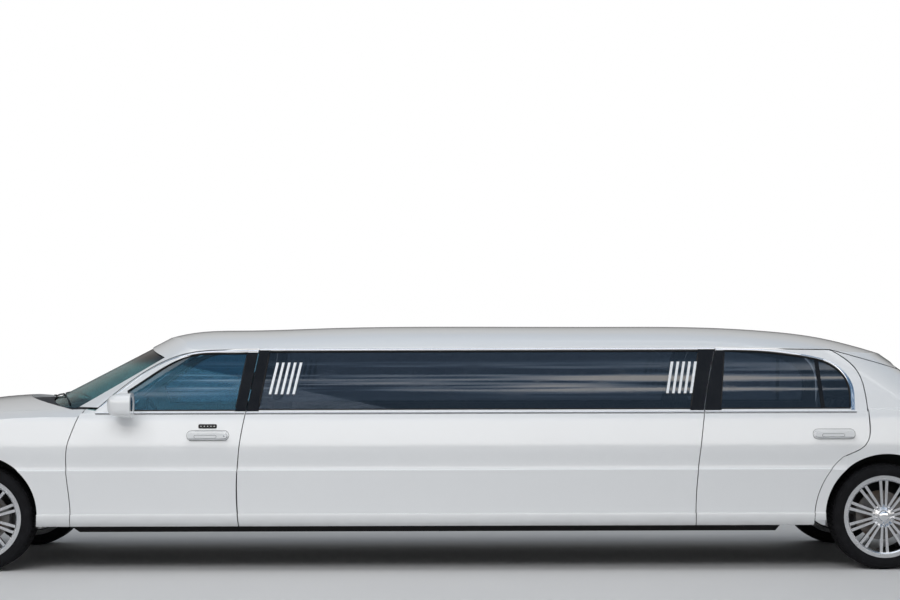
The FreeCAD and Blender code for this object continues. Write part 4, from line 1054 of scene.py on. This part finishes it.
def wheel_axles():
    """Each wheel's end and side, which way is out, and its centre."""
    for end in ("front", "rear"):
        for side, s in SIDES:
            low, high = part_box("tyre_%s_%s" % (end, side))
            yield end, side, s, (low + high) / 2


class LIMO_OT_tyres(bpy.types.Operator):
    """Low tyres with a ribbed wall and a blocked tread"""
    bl_idname = "limo.tyres"
    bl_label = "Tyres"

    def tread_block(self, centre, y0, y1, skew, arc):
        """One tread block over the axle, lower at the shoulders."""
        work, corners = bmesh.new(), []
        foot, top = 343.5, 352.0
        for radius in (foot, top):
            for y, way in ((y0, -1), (y1, 1)):
                r = (radius - (4.0 if abs(y) > 100 and radius == top else 0.0)) * MM
                for half in (-0.5, 0.5):
                    angle = arc * (half + way * skew * 0.5)
                    corners.append(work.verts.new((centre.x + r * math.sin(angle), centre.y + y * MM,
                                                   centre.z + r * math.cos(angle))))
        for quad in ((0, 1, 3, 2), (4, 6, 7, 5), (0, 4, 5, 1), (2, 3, 7, 6), (0, 2, 6, 4), (1, 5, 7, 3)):
            work.faces.new([corners[i] for i in quad])
        return outwards(work)

    def execute(self, context):
        blocks = context.scene.limo_trim.tread_blocks
        wall = [(262, 106.5), (272, 112), (280, 117), (292, 120.5), (296, 120.5), (298, 121.8),
                (302, 121.8), (304, 122.4), (316, 121.5), (326, 118.5), (328, 119.2), (332, 118.2),
                (334, 116.6), (340, 112), (344.5, 104)]
        outline = [(r, -y) for r, y in wall] + wall[::-1]
        treads = ((-105, -72, 0.3, 0.80), (-64, -26, -0.4, 0.86), (-19, 19, 0.0, 0.86), (26, 64, 0.4, 0.86),
                  (72, 105, -0.3, 0.80))
        for end, side, _, centre in wheel_axles():
            work = turned([(r * MM, centre.y + y * MM) for r, y in outline], centre, 96)
            body = "wheel_%s_%s" % (end, side)
            tyre = add_piece("tyre_carcass_%s_%s" % (end, side), work, "tyre", body, 30)
            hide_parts("tyre_%s_%s" % (end, side))
            for j, (y0, y1, skew, share) in enumerate(treads):
                work = self.tread_block(centre, y0, y1, skew, 2 * math.pi / blocks * share)
                name = "tread_%s_%s_%d" % (end, side, j)
                row = repeated(name, work, "tyre", body, blocks, centre, 0.01 * j)
        return {"FINISHED"}


class LIMO_OT_wheel_fittings(bpy.types.Operator):
    """Rim rivets, lug nuts, centre caps and brakes"""
    bl_idname = "limo.wheel_fittings"
    bl_label = "Wheel fittings"

    def execute(self, context):
        rivet = ((0, 120.8), (2.2, 120.3), (3.4, 118.8), (3.4, 112), (0, 112))      # (radius, depth) in mm
        nut = ((0, 90), (6, 89.5), (9.5, 86), (10.5, 66), (0, 66))
        cap = ((0, 99), (12, 98.5), (24, 95.5), (32, 90.5), (35, 86), (36, 74), (0, 74))
        disc = ((88, -4), (165, -4), (165, -10), (150, -10), (150, -20), (165, -20), (165, -26), (88, -26))
        rivets, rivets_r = context.scene.limo_trim.rivet_count, 0.2545
        nuts, nuts_r = 5, 0.05715
        for end, side, s, centre in wheel_axles():
            body, tail = "wheel_%s_%s" % (end, side), "_%s_%s" % (end, side)

            def fitting(profile, rise, segments):
                return turned([(r * MM, centre.y + s * depth * MM) for r, depth in profile],
                              centre + UP * rise, segments)

            repeated("rim_rivets" + tail, fitting(rivet, rivets_r, 10), "chrome", body, rivets, centre)
            repeated("lug_nuts" + tail, fitting(nut, nuts_r, 6), "chrome", body, nuts, centre, math.pi / nuts)
            add_piece("centre_cap" + tail, fitting(cap, 0, 48), "chrome", body, 40)
            add_piece("brake_disc" + tail, fitting(disc, 0, 72), "cast", body)
            front = end == "front"
            x0, x1 = sorted(centre.x + (d if front else -d) for d in (0.095, 0.175))
            y0, y1 = sorted(centre.y + s * depth for depth in (0.010, -0.050))
            caliper = block((x0, y0, centre.z - 0.075), (x1, y1, centre.z + 0.075), 0.012)
            add_piece("brake_caliper" + tail, caliper, "cast", "knuckle_" + side if front else "chassis")
        return {"FINISHED"}


class LIMO_OT_wipers(bpy.types.Operator):
    """Two parked wipers at the foot of the windscreen"""
    bl_idname = "limo.wipers"
    bl_label = "Wipers"

    def execute(self, context):
        work, tree = bmesh.new(), Skin("windscreen", "firewall_cowl").tree

        def over(x, y, lift, size=1.0):
            spot, normal, _, _ = tree.ray_cast(Vector((x, y, 2.0)), DOWN)
            normal = normal if normal.z > 0 else -normal
            return spot + normal * lift, normal, size

        square = [(-0.004, -0.004), (-0.004, 0.004), (0.004, 0.004), (0.004, -0.004)]
        pivot_x, pivot_dy, blade_dx = -2.880, 0.05, 0.03
        for y0, y1, x0, x1 in ((-0.10, -0.60, -2.845, -2.690), (0.52, 0.02, -2.755, -2.840)):
            blade = [over(x0 + (x1 - x0) * t + blade_dx, y0 + (y1 - y0) * t, 0.010)
                     for t in (i / 12 for i in range(13))]
            arm_x, arm_y = (x0 + x1) / 2 + blade_dx - pivot_x, (y1 - y0) / 2 - pivot_dy
            arm = [over(pivot_x + arm_x * t, y0 + pivot_dy + arm_y * t, 0.014 + 0.004 * math.sin(math.pi * t),
                        1.4 - 0.6 * t) for t in (i / 8 for i in range(9))]
            sweep(blade, square, work=work)
            sweep(arm, square, work=work)
        add_piece("wipers", work, "cowl")
        return {"FINISHED"}


def tilted(angle, place, axis="Y"):
    return Matrix.Translation(place) @ Matrix.Rotation(math.radians(angle), 4, axis)


class LIMO_OT_seats(bpy.types.Operator):
    """Padded front seats, side lounge and rear bench"""
    bl_idname = "limo.seats"
    bl_label = "Seats"

    def module(self, size, voxel, cap, lines, across=True):
        """A padded block on the origin: x along, y across, z up, with channels in its top."""
        trim = cap * 0.55
        half = Vector(size) / 2
        low = Vector((trim - half.x, trim - half.y, 0.004))
        high = Vector((half.x - trim, half.y - trim, size[2] - trim))
        mesh = swollen(block(low, high, min(size) * 0.22, 4), voxel, cap)
        for v in mesh.vertices:
            v.co.z = max(v.co.z, 0.002)
        channels(mesh, (0, 1, 0) if across else (1, 0, 0), lines, 0.008, 0.007, UP)
        return mesh

    def execute(self, context):
        trim = context.scene.limo_trim
        fine, cap = trim.seat_voxel, trim.seat_swell
        coarse = fine * 1.2
        seat = self.module((0.45, 0.50, 0.125), fine, cap, (-0.15, 0.15))
        back = self.module((0.52, 0.48, 0.105), fine, cap, (-0.14, 0.14))
        rest = self.module((0.17, 0.26, 0.085), fine * 0.8, cap * 0.6, ())
        bench = self.module((0.606, 0.35, 0.135), coarse, cap, (0.0,), False)
        lean = self.module((0.606, 0.355, 0.105), coarse, cap, (0.0,), False)
        sofa = self.module((0.44, 0.388, 0.145), coarse, cap, (0.0,))
        tall = self.module((0.43, 0.388, 0.120), coarse, cap, (0.0,))

        seat_y, lounge_pitch, bench_pitch, post_y = 0.395, 0.610, 0.394, 0.055
        front, lounge = [], []
        for side, s in SIDES:
            y = s * seat_y
            front.append(place_padded("front_cushion_" + side, seat, tilted(-2, (-1.795, y, 0.505))))
            front.append(place_padded("front_back_" + side, back, tilted(-70.6, (-1.428, y, 0.890))))
            front.append(place_padded("head_rest_" + side, rest, tilted(-74, (-1.345, y, 1.245))))
        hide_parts("front_seats")
        for i in range(5):
            x = -0.900 + lounge_pitch * (i + 0.5)
            base, stood = tilted(0, (x, 0.510, 0.500)), tilted(90, (x, 0.797, 0.822), "X")
            lounge.append(place_padded("lounge_cushion_%d" % (i + 1), bench, base))
            lounge.append(place_padded("lounge_back_%d" % (i + 1), lean, stood))
        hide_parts("lounge_seat")
        for i in range(3):
            y = bench_pitch * (i - 1)
            place_padded("rear_cushion_%d" % (i + 1), sofa, tilted(-2, (2.365, y, 0.566)))
            place_padded("rear_back_%d" % (i + 1), tall, tilted(-68, (2.780, y, 0.912)))

        for side, s in SIDES:
            y0, y1 = sorted((s * 0.165, s * 0.625))
            add_piece("front_plinth_" + side, block((-2.00, y0, 0.33), (-1.60, y1, 0.503), 0.012, 3), "dash")
            for end in (-1, 1):
                y = s * seat_y + end * post_y
                post = block((-1.386, y - 0.006, 1.10), (-1.374, y + 0.006, 1.20), 0.005)
                way = "inner" if end != s else "outer"
                add_piece("head_rest_post_%s_%s" % (side, way), post, "chrome")
        add_piece("lounge_plinth", block((-0.898, 0.335, 0.332), (2.146, 0.762, 0.500), 0.008), "dash")
        add_piece("lounge_shelf", block((-0.898, 0.700, 0.502), (2.146, 0.798, 0.640), 0.008), "dash")
        return {"FINISHED"}


class LIMO_OT_cabin_trim(bpy.types.Operator):
    """Door cards, carpet, roof lining, cabinet top and dash details"""
    bl_idname = "limo.cabin_trim"
    bl_label = "Cabin trim"

    def doors(self):
        for end, corners, pull_x in (
                ("front", ((-2.47, 0.46), (-2.51, 0.75), (-2.44, 1.00), (-1.47, 1.02), (-1.50, 0.70),
                           (-1.49, 0.46)), -1.86),
                ("rear", ((1.72, 0.46), (1.70, 0.75), (1.72, 1.02), (2.60, 1.02), (2.52, 0.80), (2.36, 0.64),
                          (2.29, 0.46)), 2.12)):
            body = "door_%s_" % end
            card = slab([(x, -0.866, z) for x, z in corners], 0.018, 0.006)
            if min(v.co.y for v in card.verts) < -0.870:
                bmesh.ops.translate(card, vec=(0, 0.018, 0), verts=card.verts)
            add_pair("door_card_" + end, card, "dash", body)
            rest = block((pull_x - 0.26, -0.852, 0.735), (pull_x + 0.22, -0.800, 0.775), 0.014, 3)
            add_pair("arm_rest_" + end, rest, "leather", body)
            pull = [(Vector((pull_x + x, -0.850 + y, 0.905)), UP, 1.0)
                    for x, y in ((-0.075, 0.0), (-0.062, 0.012), (0.0, 0.016), (0.062, 0.012), (0.075, 0.0))]
            add_pair("inner_handle_" + end, sweep(pull, oval(0.004, 0.007, 8)), "chrome", body)

    def floor(self):
        for name, x0, x1, mats in (("front", -2.61, -1.300, ((-0.765, -0.116), (0.116, 0.765))),
                                   ("rear_near", -1.235, 2.140, ((-0.470, -0.116),)),
                                   ("rear_far", -1.235, 2.140, ((0.116, 0.325),))):
            for i, (y0, y1) in enumerate(mats):
                mat = block((x0, y0, 0.3305), (x1, y1, 0.338), 0.003)
                add_piece("carpet_%s_%d" % (name, i + 1), mat, "carpet")
        hump = [(-0.114, 0.338), (-0.114, 0.436), (-0.106, 0.446), (0.106, 0.446), (0.114, 0.436),
                (0.114, 0.338), (0.111, 0.338), (0.111, 0.4405), (-0.111, 0.4405), (-0.111, 0.338)]
        for i, ends in enumerate(((-2.40, -1.296), (-1.244, 2.140))):
            work = lofted([[(x, y, z) for y, z in hump] for x in ends])
            add_piece("tunnel_carpet_%d" % (i + 1), work, "carpet")

    def lining(self):
        tree, under, thickness = Skin("roof_panel").tree, 0.004, 0.005
        grid = []
        for i in range(61):
            x, row = -1.72 + 4.30 * i / 60, []
            for j in range(15):
                y = -0.56 + 1.12 * j / 14
                hit = tree.ray_cast(Vector((x, y, 1.30)), UP)[0]
                row.append(Vector((x, y, hit.z - under)) if hit is not None and hit.z < 1.70 else None)
            grid.append(row)
        above = [[point - UP * thickness if point else None for point in row] for row in grid]
        add_piece("roof_lining", shell(grid, above), "lining")

    def cabinet(self):
        top = block((-1.248, -0.764, 0.9005), (0.702, -0.474, 0.922), 0.008, 3)
        add_piece("cabinet_top", top, "wood")
        knob = ((0, 0), (9, 0), (11, 6), (13, 13), (9, 19), (0, 20))        # (radius, y) in mm
        for i in range(4):
            x = -1.02 + 0.42 * i
            door = block((x - 0.195, -0.4795, 0.40), (x + 0.195, -0.470, 0.86), 0.003)
            add_piece("cabinet_door_%d" % (i + 1), door, "wood")
            pull = turned([(r * MM, y * MM - 0.4705) for r, y in knob], Vector((x + 0.16, 0, 0.80)), 20)
            add_piece("cabinet_knob_%d" % (i + 1), pull, "chrome")
        rail = [(Vector((x, -0.482, 0.936)), UP, 1.0) for x in (-1.22, 0.68)]
        add_piece("cabinet_rail", sweep(rail, oval(0.005, 0.005, 10)), "chrome")
        for i in range(5):
            x = -1.20 + 0.465 * i
            post = block((x - 0.004, -0.486, 0.918), (x + 0.004, -0.478, 0.934), 0.0015, 1)
            add_piece("rail_post_%d" % (i + 1), post, "chrome")

    def dash(self):
        arch = [(-0.39 + 0.155 * math.cos(a), 0.985 + 0.070 * math.sin(a))
                for a in (math.radians(angle) for angle in range(0, 181, 15))]
        hood = lofted([[(x, y, z + lift) for y, z in arch] for x, lift in ((-2.46, 0.0), (-2.315, 0.008))])
        add_piece("dial_hood", hood, "dash")
        for i, y in enumerate((-0.46, -0.32)):
            dial = slab([(-2.3125, y + a, 1.012 + b) for a, b in oval(0.052, 0.036, 32)], 0.003)
            add_piece("dial_%d" % (i + 1), dial, "post")
        for i, y in enumerate((-0.66, -0.13, 0.13, 0.66)):
            vent = block((-2.290, y - 0.060, 0.905), (-2.270, y + 0.060, 0.950), 0.004)
            for z in (0.914, 0.9265, 0.939):
                block((-2.273, y - 0.052, z), (-2.266, y + 0.052, z + 0.004), 0.001, 1, vent)
            add_piece("dash_vent_%d" % (i + 1), vent, "post")
        rim = ((0, -30), (52, -30), (66, -22), (70, 0), (66, 22), (0, 22))
        boss = turned([(r * MM, y * MM) for r, y in rim], Vector(), 40)
        boss.transform(tilted(67 - 90, (-2.086, -0.390, 0.962)) @ Matrix.Rotation(math.radians(90), 4, "Z"))
        add_piece("steering_boss", boss, "leather")

    def execute(self, context):
        for part in (self.doors, self.floor, self.lining, self.cabinet, self.dash):
            part()
        return {"FINISHED"}


class LIMO_OT_lamps(bpy.types.Operator):
    """Bowls and bulbs behind the lamp lenses and a dark backing behind the grille"""
    bl_idname = "limo.lamps"
    bl_label = "Lamps and grille backing"

    def execute(self, context):
        low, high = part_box("headlamps")
        lens, z = Skin("headlamps"), (low[2] + high[2]) / 2

        def behind(y):
            """Where the lens's inner face is."""
            return lens.tree.ray_cast(Vector((-3.80, -y, z)), Vector((-1, 0, 0)))[0].x

        # (radius, y) in mm
        bowl = ((0, 0), (30, 4), (58, 22), (70, 46), (74, 46), (62, 18), (32, -3), (0, -6))
        bulb = ((0, 0), (8, 0), (8, 22), (5, 29), (0, 31))
        for i, y in enumerate((0.46, 0.63)):
            place = tilted(90, (behind(y + 0.076) + 0.052, -y, z), "Z")
            for name, profile, segments, key in (("bowl", bowl, 40, "chrome"),
                                                 ("bulb", bulb, 20, "lamp_clear")):
                work = turned([(r * MM, depth * MM) for r, depth in profile], Vector(), segments)
                work.transform(place)
                add_pair("lamp_%s_%d" % (name, i + 1), work, key)
        heights, thickness, rings = (low[2] + 0.010, high[2] - 0.010), 0.004, []
        for i in range(11):
            y = 0.355 + 0.045 * i
            x = behind(y) + 0.085
            rings.append([(x + back, -y, heights[up]) for back, up in (
                (0, 0), (0, 1), (thickness, 1), (thickness, 0))])
        add_pair("lamp_housing", lofted(rings), "bars")
        low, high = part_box("grille")
        back = block((high[0] + 0.004, low[1] + 0.02, low[2] + 0.02),
                     (high[0] + 0.012, high[1] - 0.02, high[2] - 0.02), 0.002, 1)
        add_piece("grille_backing", back, "cowl")
        return {"FINISHED"}


class LIMO_PT_panel(bpy.types.Panel):
    """The car's pieces, in the order they are made"""
    bl_label = "Stretch limousine"
    bl_idname = "LIMO_PT_panel"
    bl_space_type = "VIEW_3D"
    bl_region_type = "UI"
    bl_category = "Limousine"

    def draw(self, context):
        for operator in OPERATORS:
            self.layout.operator(operator.bl_idname)


OPERATORS = (
    LIMO_OT_studio, LIMO_OT_finishes, LIMO_OT_posts, LIMO_OT_window_rubber, LIMO_OT_bright_strips,
    LIMO_OT_door_fittings, LIMO_OT_arch_band, LIMO_OT_tail_corners, LIMO_OT_window_bar, LIMO_OT_mirror_glass,
    LIMO_OT_tyres, LIMO_OT_wheel_fittings, LIMO_OT_wipers, LIMO_OT_seats, LIMO_OT_cabin_trim, LIMO_OT_lamps)
GROUPS = (("limo_finish", LimoFinish), ("limo_trim", LimoTrim), ("limo_light", LimoLight),
          ("limo_camera", LimoCamera))
CLASSES = tuple(group for _, group in GROUPS) + OPERATORS + (LIMO_PT_panel,)


def register():
    for cls in CLASSES:
        bpy.utils.register_class(cls)
    for name, group in GROUPS:
        setattr(bpy.types.Scene, name, bpy.props.PointerProperty(type=group))


def unregister():
    for name, _ in GROUPS:
        delattr(bpy.types.Scene, name)
    for cls in reversed(CLASSES):
        bpy.utils.unregister_class(cls)


def main():
    register()
    for operator in OPERATORS:
        group, name = operator.bl_idname.split(".")
        getattr(getattr(bpy.ops, group), name)()


if __name__ == "__main__":
    main()
